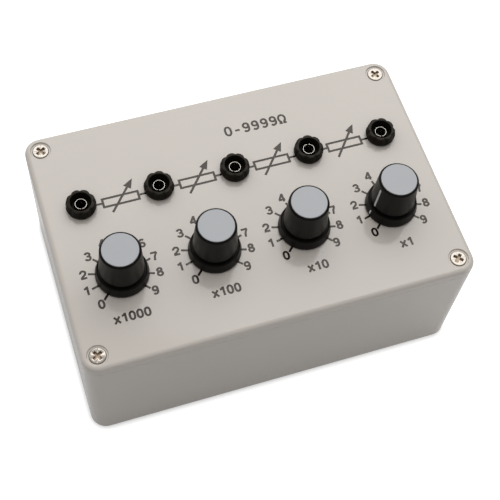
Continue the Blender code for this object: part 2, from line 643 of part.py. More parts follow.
def wafer_mesh(far_socket):
    """The plate that closes the housing, its spare tags, and the wiper's tag with its wire."""
    edge = HOUSING_RADIUS - WAFER_MARGIN
    plate = turned("switch_wafer", [(edge, WAFER_TOP, HIDDEN_SIDES),
                                    (edge, WAFER_TOP - WAFER_THICKNESS, HIDDEN_SIDES)])
    seat = FIT + WAFER_THICKNESS / 2
    tags = [tag(WAY_RADIUS, way_angle(way), seat) for way in range(DECADE_STEPS + 1, WAYS)]
    pole_angle = way_angle(WAYS / 2)
    tags.append(tag(POLE_TAG_RADIUS, pole_angle, seat))
    end = spoke(pole_angle, POLE_TAG_RADIUS, TAG_BOTTOM)
    return carve(plate, "UNION", *tags, wire_mesh(far_socket + wire_start(-1), end))


def resistor_mesh(step):
    """One resistor with its leads, from the tag of one way to the next."""
    half_angle = math.radians(WAY_STEP / 2)
    lead_end = WAY_RADIUS * math.sin(half_angle) - TAG_THICKNESS / 2 + SOLDER_LAP
    body_end = RESISTOR_LENGTH / 2
    half = [(lead_end, RESISTOR_LEAD_RADIUS), (body_end, RESISTOR_LEAD_RADIUS),
            (body_end - RESISTOR_SHOULDER, RESISTOR_RADIUS)]
    profile = [(radius, -along, RESISTOR_SIDES) for along, radius in half]
    profile += [(radius, along, RESISTOR_SIDES) for along, radius in reversed(half)]
    one = turned("resistor", profile)
    shift = Matrix.Translation((WAY_RADIUS * math.cos(half_angle), 0, TAG_TOP - RESISTOR_DROP))
    swing = Matrix.Rotation(math.radians(stop_angle(step)), 4, "Z")
    one.transform(swing @ shift @ Matrix.Rotation(TURN / 4, 4, "X"))
    return one


def chain_mesh(near_socket):
    """Ten tags with nine resistors soldered between them, and the wire to the decade's socket."""
    parts = [tag(WAY_RADIUS, way_angle(way), 0) for way in range(DECADE_STEPS + 1)]
    parts += [resistor_mesh(step) for step in range(DECADE_STEPS)]
    end = spoke(way_angle(0), WAY_RADIUS, TAG_BOTTOM)
    chain = carve(wire_mesh(near_socket + wire_start(1), end), "UNION", *parts)
    chain.name = "resistor_chain"
    return chain


def wire_start(side):
    """Where a wire leaves a socket's tail, beside the wire of the neighbouring decade."""
    return Vector((side * (WIRE_RADIUS + FIT), CONTACT_RADIUS - TAIL_THICKNESS / 2, TAIL_BOTTOM - FIT))


def wire_mesh(start, end):
    """A wire that leaves both ends downwards and hangs between them."""
    dip = Vector((0, 0, -WIRE_DIP))
    controls = (start, start + dip, end + dip, end + Vector((0, 0, SOLDER_LAP)))
    curve = bpy.data.curves.new("wire", "CURVE")
    curve.dimensions = "3D"
    curve.bevel_depth = WIRE_RADIUS
    curve.bevel_resolution = 0
    curve.use_fill_caps = True
    spline = curve.splines.new("POLY")
    spline.points.add(WIRE_STEPS)
    for i, point in enumerate(spline.points):
        t = i / WIRE_STEPS
        weights = ((1 - t) ** 3, 3 * t * (1 - t) ** 2, 3 * t ** 2 * (1 - t), t ** 3)
        place = sum((w * c for w, c in zip(weights, controls)), Vector())
        point.co = (*place, 1)
    guide = bpy.data.objects.new("wire", curve)
    tube = bpy.data.meshes.new_from_object(guide)
    bpy.data.objects.remove(guide)
    shape = bmesh.new()
    shape.from_mesh(tube)
    bmesh.ops.remove_doubles(shape, verts=shape.verts, dist=WIRE_WELD)
    return finished_mesh("wire", shape)


def skirt_mesh():
    """The knob's skirt: a hollow cone that hides the switch's nut."""
    shoulder = SKIRT_RADIUS - SKIRT_TAPER
    foot, roof = SKIRT_CLEARANCE, SKIRT_TOP - SKIRT_ROOF
    return turned("knob_skirt", [
        (SKIRT_RADIUS - SKIRT_WALL, foot, HIDDEN_SIDES), (SKIRT_RADIUS, foot, VISIBLE_SIDES),
        (SKIRT_RADIUS, foot + SKIRT_EDGE, VISIBLE_SIDES),
        (shoulder, SKIRT_TOP - SKIRT_SHOULDER_DROP, VISIBLE_SIDES),
        (shoulder - SKIRT_SHOULDER, SKIRT_TOP, VISIBLE_SIDES),
        (SKIRT_HOLE_RADIUS, SKIRT_TOP, HIDDEN_SIDES), (SKIRT_HOLE_RADIUS, roof, HIDDEN_SIDES),
        (shoulder - SKIRT_WALL, roof, HIDDEN_SIDES)], closed=True)


def knob_mesh():
    """The knob's tapering body, with a seat for the cap, a well for the nut and a cone below."""
    mouth = COLLET_CONE_RADIUS + FIT
    bore = COLLET_RADIUS + FIT
    well_floor = COLLET_NUT_BOTTOM - FIT
    rim = KNOB_HEAD_RADIUS - KNOB_RIM_BEVEL
    seat = CAP_RADIUS + FIT
    return turned("knob_body", [
        (mouth, KNOB_FOOT, HIDDEN_SIDES),
        (KNOB_FOOT_RADIUS - KNOB_FOOT_BEVEL, KNOB_FOOT, VISIBLE_SIDES),
        (KNOB_FOOT_RADIUS, KNOB_FOOT + KNOB_FOOT_BEVEL, VISIBLE_SIDES),
        (KNOB_HEAD_RADIUS, KNOB_TOP - KNOB_RIM_DROP, VISIBLE_SIDES), (rim, KNOB_TOP, VISIBLE_SIDES),
        (seat, KNOB_TOP, VISIBLE_SIDES), (seat, CAP_SEAT, VISIBLE_SIDES),
        (NUT_WELL_RADIUS, CAP_SEAT, HIDDEN_SIDES), (NUT_WELL_RADIUS, well_floor, HIDDEN_SIDES),
        (bore, well_floor, HIDDEN_SIDES), (bore, KNOB_FOOT + COLLET_CONE_HEIGHT, HIDDEN_SIDES)],
        closed=True)


def cap_mesh():
    """The grey disc that clips into the top of the knob."""
    bottom = CAP_SEAT + FIT
    plug = NUT_WELL_RADIUS * math.cos(TURN / HIDDEN_SIDES / 2) - FIT
    return turned("knob_cap", [
        (CAP_RADIUS - CAP_BEVEL, KNOB_TOP, VISIBLE_SIDES), (CAP_RADIUS, KNOB_TOP - CAP_BEVEL, VISIBLE_SIDES),
        (CAP_RADIUS, bottom, VISIBLE_SIDES), (plug, bottom, HIDDEN_SIDES),
        (plug, bottom - CAP_PLUG_LENGTH, HIDDEN_SIDES)])


def collet_mesh():
    """The brass collet that grips the spindle, and the nut that draws it up."""
    foot = KNOB_FOOT
    collet = turned("knob_collet", [
        (COLLET_BORE_RADIUS, foot, HIDDEN_SIDES), (COLLET_CONE_RADIUS, foot, HIDDEN_SIDES),
        (COLLET_RADIUS, foot + COLLET_CONE_HEIGHT, HIDDEN_SIDES), (COLLET_RADIUS, COLLET_TOP, HIDDEN_SIDES),
        (COLLET_BORE_RADIUS, COLLET_TOP, HIDDEN_SIDES)], closed=True)
    tightener = nut("collet_nut", COLLET_NUT_FLATS, COLLET_RADIUS - COLLET_WALL / 2, COLLET_NUT_BOTTOM,
                    COLLET_NUT_HEIGHT)
    return carve(collet, "UNION", tightener)


def build_case(panel, finishes):
    """The base, the lid and the four screws that hold them."""
    add("enclosure_base", base_mesh(), finishes["case_grey"], panel)
    add("lid", lid_mesh(), finishes["case_grey"], panel)
    screw = screw_mesh()
    for number, place in enumerate(screw_places(), 1):
        add(f"lid_screw_{number}", screw, finishes["nickel"], axis(f"lid_screw_{number}_axis", place, panel))


def build_sockets(panel, finishes):
    """Five sockets in a row, each with its contact and its nut."""
    body, contact = socket_mesh(), contact_mesh()
    one_nut = nut("socket_nut", SOCKET_NUT_FLATS, clear_radius(SOCKET_SHANK_RADIUS),
                  LID_UNDERSIDE - FIT - SOCKET_NUT_HEIGHT, SOCKET_NUT_HEIGHT)
    for number, place in enumerate(row_places(SOCKET_COUNT, SOCKET_PITCH, SOCKET_ROW), 1):
        centre = axis(f"socket_{number}_axis", place, panel)
        add(f"socket_{number}_body", body, finishes["socket_black"], centre, SOCKET_TURNS[number - 1])
        add(f"socket_{number}_contact", contact, finishes["nickel"], centre)
        add(f"socket_{number}_nut", one_nut, finishes["nut_black"], centre)


def build_switches(panel, finishes):
    """Four rotary switches with their resistors and knobs, each on the empty of its own axis."""
    sockets = row_places(SOCKET_COUNT, SOCKET_PITCH, SOCKET_ROW)
    fixed = {"housing": (housing_mesh(), "housing_black"),
             "nut": (nut("switch_nut", SWITCH_NUT_FLATS, BUSH_RADIUS + FIT, FIT, SWITCH_NUT_HEIGHT),
                     "nickel")}
    moving = {"rotor": (rotor_mesh(), "spindle_metal"), "skirt": (skirt_mesh(), "knob_black"),
              "body": (knob_mesh(), "knob_black"), "cap": (cap_mesh(), "cap_grey"),
              "collet": (collet_mesh(), "brass")}
    for number, place in enumerate(row_places(SWITCH_COUNT, SWITCH_PITCH, SWITCH_ROW), 1):
        centre = axis(f"switch_{number}_axis", place, panel)
        near, far = sockets[number - 1] - place, sockets[number] - place
        rest = way_angle(REST_FIGURES[number - 1])
        add(f"switch_{number}_wafer", wafer_mesh(far), finishes["wafer_brown"], centre)
        add(f"decade_{number}_resistors", chain_mesh(near), finishes["resistor_blue"], centre)
        for name, (mesh, finish) in fixed.items():
            add(f"switch_{number}_{name}", mesh, finishes[finish], centre)
        for name, (mesh, finish) in moving.items():
            owner = "switch" if name == "rotor" else "knob"
            add(f"{owner}_{number}_{name}", mesh, finishes[finish], centre, rest)


def main():
    clear_scene()
    finishes = {"case_grey": material("case_grey", "#c6c2bd", 0.25),
                "nickel": material("nickel", "#cfcdc8", 0.25, 1.0),
                "socket_black": material("socket_black", "#1b1a19", 0.4),
                "nut_black": material("nut_black", "#232323", 0.5),
                "knob_black": material("knob_black", "#191817", 0.45),
                "cap_grey": material("cap_grey", "#b0b1b3", 0.45),
                "brass": material("brass", "#b5964f", 0.35, 1.0),
                "spindle_metal": material("spindle_metal", "#b9babb", 0.35, 1.0),
                "housing_black": material("housing_black", "#202124", 0.5),
                "wafer_brown": material("wafer_brown", "#6f4a2d", 0.6),
                "resistor_blue": material("resistor_blue", "#7fa6c0", 0.4)}
    panel = axis("panel", (0, 0, CASE_HEIGHT))
    build_case(panel, finishes)
    build_sockets(panel, finishes)
    build_switches(panel, finishes)
    bpy.context.view_layer.update()


main()
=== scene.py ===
# Decade resistance box: the finished looks of a grey moulded case with five sockets and four knobs.
# Every piece is made in metres where the solid model has it, and rides on the same body.

import math

import bmesh
import bpy
from mathutils import Matrix, Vector


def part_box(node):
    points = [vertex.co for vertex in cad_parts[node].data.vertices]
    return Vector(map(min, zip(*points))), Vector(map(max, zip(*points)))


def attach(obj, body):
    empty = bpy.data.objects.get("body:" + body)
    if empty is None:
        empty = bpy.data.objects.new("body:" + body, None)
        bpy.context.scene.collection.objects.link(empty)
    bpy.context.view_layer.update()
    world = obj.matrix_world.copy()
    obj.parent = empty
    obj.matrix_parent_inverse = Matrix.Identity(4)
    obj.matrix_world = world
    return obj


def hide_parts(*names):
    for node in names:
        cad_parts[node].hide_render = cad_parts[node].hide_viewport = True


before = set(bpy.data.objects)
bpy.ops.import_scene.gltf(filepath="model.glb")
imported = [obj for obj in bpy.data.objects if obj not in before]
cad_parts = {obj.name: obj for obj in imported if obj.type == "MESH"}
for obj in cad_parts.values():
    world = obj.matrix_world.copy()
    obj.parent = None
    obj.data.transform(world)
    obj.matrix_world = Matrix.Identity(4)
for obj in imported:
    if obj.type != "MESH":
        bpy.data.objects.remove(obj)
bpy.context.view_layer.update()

MM = 0.001
TURN = 2 * math.pi
AROUND = 96                     # facets round a turned piece
SMALL_AROUND = 64               # facets round a small one
WELD = 0.001 * MM               # points that lie closer are merged

# Case
LENGTH, DEPTH, PANEL = 150 * MM, 100 * MM, 58 * MM
CORNER = 6.2 * MM
WALL = 2.5 * MM
LID_ROUND = 2.0 * MM
LID_RIM = 54.1 * MM             # lowest edge of the lid
JOINT_GAP = 0.1 * MM            # hairline between lid and base
JOINT_EDGE = 0.12 * MM          # soft edges on both sides of it
BOSS_RADIUS = 4.95 * MM         # plastic round each screw recess
WELL_RADIUS = 3.85 * MM
WELL_FLOOR = 55.8 * MM
WELL_LEDGE = 57.4 * MM          # shallow ring round the screw heads
LEDGE_WIDTH = 0.7 * MM
LEDGE_ROUND = 0.15 * MM         # soft corner where the ledge meets the recess's wall
WELL_EDGE = 0.25 * MM           # soft edge round the screw recesses
EDGE_BEND = 0.3                 # where that edge bends, as a share of its size
SCREW_HOLE = 1.8 * MM
SOCKET_HOLE = 4.1 * MM
SWITCH_HOLE = 5.1 * MM
PILLAR_RADIUS = 4.4 * MM
PILLAR_DROP = 0.8 * MM          # from the base's rim down to the pillars' tops
PILLAR_HOLE_FLOOR = 38.7 * MM
FLOOR_TOP = 3.0 * MM
FOOT_ROUND = 0.6 * MM
GUIDE_PLACES = (-39, -13, 13, 39)       # the card slots along the case, in mm
GUIDE_SHIFTS = (-1.5, 1.5)              # a slot's two ribs, off its middle, in mm
GUIDE_SIZE = (1.2 * MM, 2.6 * MM, 42.4 * MM)
GUIDE_INSET = 0.3 * MM                  # from the wall's face to a rib's middle
GUIDE_MIDDLE = 22.5 * MM
UPSTAND_LENGTHS = (127 * MM, 77 * MM)   # the lip that enters the lid, along and across the case
UPSTAND_THICKNESS = 1.5 * MM
UPSTAND_HEIGHT = 4 * MM
UPSTAND_MIDDLE = 53.2 * MM


def middle(box):
    """The axis of a round node, in the plane of the underside."""
    low, high = box
    return Vector(((low.x + high.x) / 2, (low.y + high.y) / 2, 0))


# Where the rows stand, read from the solids
SCREWS = [middle(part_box(f"lid_screw_{n}")) for n in range(1, 5)]
SOCKETS = [middle(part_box(f"socket_{n}_nut")) for n in range(1, 6)]
KNOBS = [middle(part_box(f"knob_{n}_collet")) for n in range(1, 5)]


# Working by hand: selecting, cutting, turning, copying

def only(piece):
    """Select this piece alone and work on it."""
    bpy.ops.object.select_all(action="DESELECT")
    piece.select_set(True)
    bpy.context.view_layer.objects.active = piece


def begun(name):
    """Name the object that was just added and put its place into its mesh."""
    piece = bpy.context.object
    piece.name = piece.data.name = name
    only(piece)
    bpy.ops.object.transform_apply(location=True, rotation=True, scale=True)
    return piece


def pick(piece, kind, test):
    """In edit mode, select the VERT, EDGE or FACE items that pass a test."""
    bpy.ops.mesh.select_mode(type=kind)
    bpy.ops.mesh.select_all(action="DESELECT")
    shape = bmesh.from_edit_mesh(piece.data)
    for item in {"VERT": shape.verts, "EDGE": shape.edges, "FACE": shape.faces}[kind]:
        if test(item):
            item.select_set(True)
    shape.select_flush_mode()
    bmesh.update_edit_mesh(piece.data)


def at_height(item, z, slack=0.01 * MM):
    """Whether a face or an edge lies level at a height."""
    return all(abs(v.co.z - z) < slack for v in item.verts)


def modified(piece, kind, **settings):
    """Add a modifier to a piece, set it and apply it."""
    only(piece)
    step = piece.modifiers.new(kind.title(), kind)
    for name, value in settings.items():
        setattr(step, name, value)
    bpy.ops.object.modifier_apply(modifier=step.name)
    return piece


def carved(piece, tool, how="DIFFERENCE"):
    """Cut a tool out of a piece, or weld it on, and throw the tool away."""
    modified(piece, "BOOLEAN", operation=how, solver="EXACT", object=tool)
    bpy.data.objects.remove(tool)
    return piece


def smoothed(piece, degrees=35):
    """Shade the rounds smooth and keep the flats flat."""
    only(piece)
    bpy.ops.object.shade_smooth_by_angle(angle=math.radians(degrees))
    return modified(piece, "WEIGHTED_NORMAL", keep_sharp=True)


def copied(piece, name, place=(0, 0, 0), turn=0.0):
    """A copy with its own mesh, turned by some degrees and moved, with its place in its mesh."""
    copy = piece.copy()
    copy.data = piece.data.copy()
    copy.name = copy.data.name = name
    bpy.context.scene.collection.objects.link(copy)
    copy.rotation_euler.z = math.radians(turn)
    copy.location = place
    only(copy)
    bpy.ops.object.transform_apply(location=True, rotation=True, scale=True)
    return copy


def joined(name, pieces):
    """Several objects as one."""
    only(pieces[0])
    for piece in pieces[1:]:
        piece.select_set(True)
    if len(pieces) > 1:
        bpy.ops.object.join()
    pieces[0].name = pieces[0].data.name = name
    return pieces[0]


def drawn(name, points, closed=False):
    """A line drawn through points, made a mesh of edges."""
    curve = bpy.data.curves.new(name, "CURVE")
    curve.dimensions = "3D"
    line = curve.splines.new("POLY")
    line.points.add(len(points) - 1)
    for point, place in zip(line.points, points):
        point.co = (*place, 1)
    line.use_cyclic_u = closed
    piece = bpy.data.objects.new(name, curve)
    bpy.context.scene.collection.objects.link(piece)
    only(piece)
    bpy.ops.object.convert(target="MESH")
    return bpy.context.object


def rounded(corners, steps=5):
    """A profile whose corners (radius, height, round) are rounded off."""
    points = []
    flat = [Vector(corner[:2]) for corner in corners]
    for i, corner in enumerate(corners):
        size = corner[2] if len(corner) > 2 else 0
        if not size:
            points.append(flat[i])
            continue
        back = (flat[i - 1] - flat[i]).normalized()
        on = (flat[(i + 1) % len(flat)] - flat[i]).normalized()
        half = back.angle(on) / 2
        start = flat[i] + back * size / math.tan(half)
        centre = flat[i] + (back + on).normalized() * size / math.sin(half)
        sweep = math.pi - 2 * half
        arm = start - centre
        sign = 1 if (-back).x * on.y - (-back).y * on.x > 0 else -1
        for step in range(steps + 1):
            angle = sign * sweep * step / steps
            points.append(centre + Vector((arm.x * math.cos(angle) - arm.y * math.sin(angle),
                                           arm.x * math.sin(angle) + arm.y * math.cos(angle))))
    return points


def above_panel(outline):
    """An outline's (radius, height, round) corners, from mm above the panel to metres above the underside."""
    return [(r * MM, PANEL + z * MM, *(size * MM for size in rest)) for r, z, *rest in outline]


def turned(name, corners, closed=True, around=AROUND, sweep=TURN, steps=5):
    """A profile of (radius, height, round) corners, spun about the upright axis."""
    piece = drawn(name, [(r, 0, z) for r, z in rounded(corners, steps)], closed)
    bpy.ops.object.mode_set(mode="EDIT")
    bpy.ops.mesh.select_all(action="SELECT")
    bpy.ops.mesh.spin(steps=around, angle=sweep, center=(0, 0, 0), axis=(0, 0, 1))
    bpy.ops.mesh.select_all(action="SELECT")
    bpy.ops.mesh.remove_doubles(threshold=WELD)
    bpy.ops.mesh.select_all(action="SELECT")
    bpy.ops.mesh.normals_make_consistent(inside=False)
    bpy.ops.object.mode_set(mode="OBJECT")
    return piece


def finished(piece, body, finish, slot, *nodes):
    """Give a piece its finish and its body, and let it stand for its solids."""
    piece.data.materials.clear()
    piece.data.materials.append(finish)
    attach(piece, body)
    if nodes:
        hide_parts(*nodes)
    return piece


# Finishes

def linear(colour):
    """An sRGB hex value as linear red, green, blue and alpha."""
    channels = [int(colour[i:i + 2], 16) / 255 for i in (1, 3, 5)]
    return (*[c / 12.92 if c <= 0.04045 else ((c + 0.055) / 1.055) ** 2.4 for c in channels], 1.0)


def add_node(finish, kind, inputs=None, **settings):
    """Add a node, set its options, and fill or link its inputs."""
    node = finish.node_tree.nodes.new(kind)
    for name, value in settings.items():
        setattr(node, name, value)
    for name, value in (inputs or {}).items():
        if isinstance(value, bpy.types.NodeSocket):
            finish.node_tree.links.new(value, node.inputs[name])
        else:
            node.inputs[name].default_value = value
    return node


def new_finish(name, **values):
    """A finish with its shader, whose plain values are set on the shader's own sockets."""
    finish = bpy.data.materials.new(name)
    finish.use_nodes = True
    shader = finish.node_tree.nodes["Principled BSDF"]
    for label, value in values.items():
        shader.inputs[label.replace("_", " ")].default_value = value
    return finish, shader


FIRST_COLOUR, SECOND_COLOUR, MIXED = 6, 7, 2   # the places of a Mix node's colour sockets


def textured(name, colours, grain, mottle, roughness, height, **values):
    """A finish with fine grain in its surface and slow changes in its colour and gloss.

    grain and mottle are sizes in metres, height is how deep the grain is."""
    finish, shader = new_finish(name, **values)
    link = finish.node_tree.links.new
    place = add_node(finish, "ShaderNodeTexCoord")
    slow = add_node(finish, "ShaderNodeTexNoise", {
        "Vector": place.outputs["Object"], "Scale": 1 / mottle, "Detail": 3.0, "Roughness": 0.55})
    blend = add_node(finish, "ShaderNodeMix", {"Factor": slow.outputs["Fac"]}, data_type="RGBA")
    blend.inputs[FIRST_COLOUR].default_value = linear(colours[0])
    blend.inputs[SECOND_COLOUR].default_value = linear(colours[1])
    link(blend.outputs[MIXED], shader.inputs["Base Color"])
    gloss = add_node(finish, "ShaderNodeMapRange", {
        "Value": slow.outputs["Fac"], "From Min": 0.3, "From Max": 0.7,
        "To Min": roughness[0], "To Max": roughness[1]})
    link(gloss.outputs["Result"], shader.inputs["Roughness"])
    fine = add_node(finish, "ShaderNodeTexNoise", {
        "Vector": place.outputs["Object"], "Scale": 1 / grain, "Detail": 2.0})
    bump = add_node(finish, "ShaderNodeBump", {
        "Height": fine.outputs["Fac"], "Distance": height, "Strength": 1.0})
    link(bump.outputs["Normal"], shader.inputs["Normal"])
    return finish


def dulled_below(finish, top, bottom, colour, roughness):
    """Let a finish turn rougher and take another colour below a height."""
    shader = finish.node_tree.nodes["Principled BSDF"]
    link = finish.node_tree.links.new
    place = add_node(finish, "ShaderNodeTexCoord")
    height = add_node(finish, "ShaderNodeSeparateXYZ", {"Vector": place.outputs["Object"]})
    bright = add_node(finish, "ShaderNodeMapRange", {
        "Value": height.outputs["Z"], "From Min": bottom, "From Max": top})
    tint = add_node(finish, "ShaderNodeMix", {"Factor": bright.outputs["Result"]}, data_type="RGBA")
    tint.inputs[FIRST_COLOUR].default_value = linear(colour)
    link(shader.inputs["Base Color"].links[0].from_socket, tint.inputs[SECOND_COLOUR])
    link(tint.outputs[MIXED], shader.inputs["Base Color"])
    gloss = add_node(finish, "ShaderNodeMapRange", {
        "Value": bright.outputs["Result"], "To Min": roughness,
        "To Max": shader.inputs["Roughness"].links[0].from_socket})
    link(gloss.outputs["Result"], shader.inputs["Roughness"])


# Moulded ABS: a hard glossy skin in which the knobs show as dark mirror images
case_grey = textured("moulded_abs_grey", ("#c9c2ba", "#c5beb6"), grain=0.5 * MM, mottle=40 * MM,
                     roughness=(0.1, 0.14), height=0.0004 * MM, IOR=1.49)
# Gloss screen ink: dark grey where it mirrors the lamp, black where a knob stands in the way
ink = textured("screen_ink_black", ("#17110b", "#201813"), grain=0.12 * MM, mottle=3 * MM,
               roughness=(0.12, 0.18), height=0.0006 * MM, IOR=1.5,
               Specular_IOR_Level=0.44, Specular_Tint=(1.0, 0.93, 0.85, 1.0))
# Moulded nylon: matt black sides under a rim with a satin sheen
socket_black = textured("moulded_nylon_black", ("#0c0a07", "#120f0a"), grain=0.25 * MM, mottle=4 * MM,
                        roughness=(0.26, 0.36), height=0.002 * MM, IOR=1.53,
                        Specular_IOR_Level=0.17, Specular_Tint=(1.0, 0.92, 0.78, 1.0))
dulled_below(socket_black, top=62.05 * MM, bottom=61.3 * MM, colour="#0e0b07", roughness=0.65)
# Moulded knob plastic: black, a broad soft shine down its sides
knob_black = textured("moulded_knob_black", ("#0a0908", "#100e0d"), grain=0.3 * MM, mottle=8 * MM,
                      roughness=(0.34, 0.44), height=0.002 * MM, IOR=1.5,
                      Specular_IOR_Level=0.16, Specular_Tint=(1.0, 0.94, 0.84, 1.0))
# Matt moulded plastic of the caps: a cool even grey
cap_grey = textured("matt_cap_grey", ("#a6a9ac", "#b2b3b6"), grain=0.2 * MM, mottle=9 * MM,
                    roughness=(0.42, 0.5), height=0.002 * MM, IOR=1.5)
# Bright nickel plate: almost white where it mirrors the lamp
nickel = textured("nickel_plate", ("#d6d2ca", "#c9c5bd"), grain=0.4 * MM, mottle=2 * MM,
                  roughness=(0.14, 0.26), height=0.001 * MM, Metallic=1.0)
# Zinc plate of the screws: cream where it mirrors the lamp, grey-brown where it doesn't
zinc = textured("zinc_plate", ("#a9a39b", "#9e978e"), grain=0.5 * MM, mottle=1.5 * MM,
                roughness=(0.06, 0.13), height=0.002 * MM, Metallic=1.0)
dulled_below(zinc, top=57.75 * MM, bottom=57.45 * MM, colour="#a99987", roughness=0.5)
# White filling paint in the knobs' pointer marks
mark_white = textured("filled_mark_white", ("#d5d5d6", "#c6c6c8"), grain=0.1 * MM, mottle=2 * MM,
                      roughness=(0.45, 0.6), height=0.003 * MM, IOR=1.5)
# Turned brass of the collets
brass = textured("turned_brass", ("#b8964f", "#a98743"), grain=0.15 * MM, mottle=3 * MM,
                 roughness=(0.25, 0.38), height=0.002 * MM, Metallic=1.0)
# Bright drawn steel of the spindles
steel = textured("drawn_steel", ("#b9babb", "#a9aaac"), grain=0.1 * MM, mottle=3 * MM,
                 roughness=(0.28, 0.4), height=0.001 * MM, Metallic=1.0)
# Glass-filled moulding of the switch housings, dull with a coarse skin
housing_black = textured("glass_filled_black", ("#202124", "#27282b"), grain=0.2 * MM, mottle=5 * MM,
                         roughness=(0.5, 0.65), height=0.006 * MM, IOR=1.5)
# Paper laminate of the switch wafers, brown with a darker fleck
wafer_brown = textured("paper_laminate", ("#6b4528", "#7a5233"), grain=0.3 * MM, mottle=1.2 * MM,
                       roughness=(0.45, 0.6), height=0.004 * MM, IOR=1.5)
# Lacquered resistors, pale blue
resistor_blue = textured("resistor_lacquer", ("#7fa6c0", "#86abc3"), grain=0.2 * MM, mottle=1.5 * MM,
                         roughness=(0.3, 0.42), height=0.003 * MM, IOR=1.5)
# Moulded nuts inside the box
nut_black = textured("moulded_nut_black", ("#232323", "#1d1d1d"), grain=0.2 * MM, mottle=3 * MM,
                     roughness=(0.4, 0.55), height=0.004 * MM, IOR=1.5)

SLOT_FINISHES = {"case_grey": case_grey, "nickel": nickel, "socket_black": socket_black,
                 "nut_black": nut_black, "knob_black": knob_black, "cap_grey": cap_grey, "brass": brass,
                 "spindle_metal": steel, "housing_black": housing_black, "wafer_brown": wafer_brown,
                 "resistor_blue": resistor_blue}
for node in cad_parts.values():
    for place in node.material_slots:
        kept = next((f for slot, f in SLOT_FINISHES.items() if place.material.name.startswith(slot)), None)
        place.material = kept or case_grey


# Case

def case_block(name, bottom, top):
    """A block of the case's outline with its upright edges rounded."""
    bpy.ops.mesh.primitive_cube_add(size=1, location=(0, 0, (bottom + top) / 2),
                                    scale=(LENGTH, DEPTH, top - bottom))
    piece = begun(name)
    bpy.ops.object.mode_set(mode="EDIT")
    pick(piece, "EDGE", lambda e: (e.verts[0].co.xy - e.verts[1].co.xy).length < WELD)
    bpy.ops.mesh.bevel(offset=CORNER, segments=12, affect="EDGES")
    return piece


def hollowed(piece, z, depth):
    """In edit mode, sink the level face at a height, a wall's thickness inside its edge."""
    pick(piece, "FACE", lambda f: at_height(f, z))
    bpy.ops.mesh.inset(thickness=WALL, depth=0)
    bpy.ops.mesh.extrude_region_move(TRANSFORM_OT_translate={"value": (0, 0, depth)})


def posts(name, radius, bottom, top, places, vertices=48):
    """Round posts at several places, as one object."""
    made = []
    for i, place in enumerate(places):
        bpy.ops.mesh.primitive_cylinder_add(vertices=vertices, radius=radius, depth=top - bottom,
                                            location=(place.x, place.y, (bottom + top) / 2))
        made.append(begun(f"{name}_{i}"))
    return joined(name, made)


def well_cutter(name, radius, floor, lip, places):
    """A cutter for round recesses with a soft lip at the panel's face."""
    bend = lip * EDGE_BEND
    one = turned(name, [
        (0, floor), (radius, floor, LEDGE_ROUND), (radius, PANEL - lip), (radius + bend, PANEL - bend),
        (radius + lip, PANEL + WELD), (radius + lip, PANEL + MM), (0, PANEL + MM)],
        closed=False, around=SMALL_AROUND, steps=3)
    made = [copied(one, f"{name}_{i}", place) for i, place in enumerate(places)]
    bpy.data.objects.remove(one)
    return joined(name, made)


def make_lid():
    """The lid: rounded above, hollow below, with screw recesses and holes for what it carries."""
    lid = case_block("lid_moulding", LID_RIM, PANEL)
    pick(lid, "EDGE", lambda e: at_height(e, PANEL))
    bpy.ops.mesh.bevel(offset=LID_ROUND, segments=7, affect="EDGES")
    pick(lid, "EDGE", lambda e: at_height(e, LID_RIM))
    bpy.ops.mesh.bevel(offset=JOINT_EDGE, segments=2, affect="EDGES")
    hollowed(lid, LID_RIM, PANEL - WALL - LID_RIM)
    bpy.ops.object.mode_set(mode="OBJECT")
    carved(lid, posts("boss", BOSS_RADIUS, LID_RIM, PANEL - WALL / 2, SCREWS), "UNION")
    carved(lid, well_cutter("ring", WELL_RADIUS, WELL_LEDGE, WELL_EDGE, SCREWS))
    carved(lid, posts("well", WELL_RADIUS - LEDGE_WIDTH, WELL_FLOOR, PANEL, SCREWS))
    carved(lid, posts("screw_hole", SCREW_HOLE, LID_RIM - MM, PANEL, SCREWS))
    carved(lid, posts("socket_hole", SOCKET_HOLE, LID_RIM, PANEL + MM, SOCKETS))
    carved(lid, posts("switch_hole", SWITCH_HOLE, LID_RIM, PANEL + MM, KNOBS))
    return finished(smoothed(lid), "box", case_grey, "case_grey", "lid")


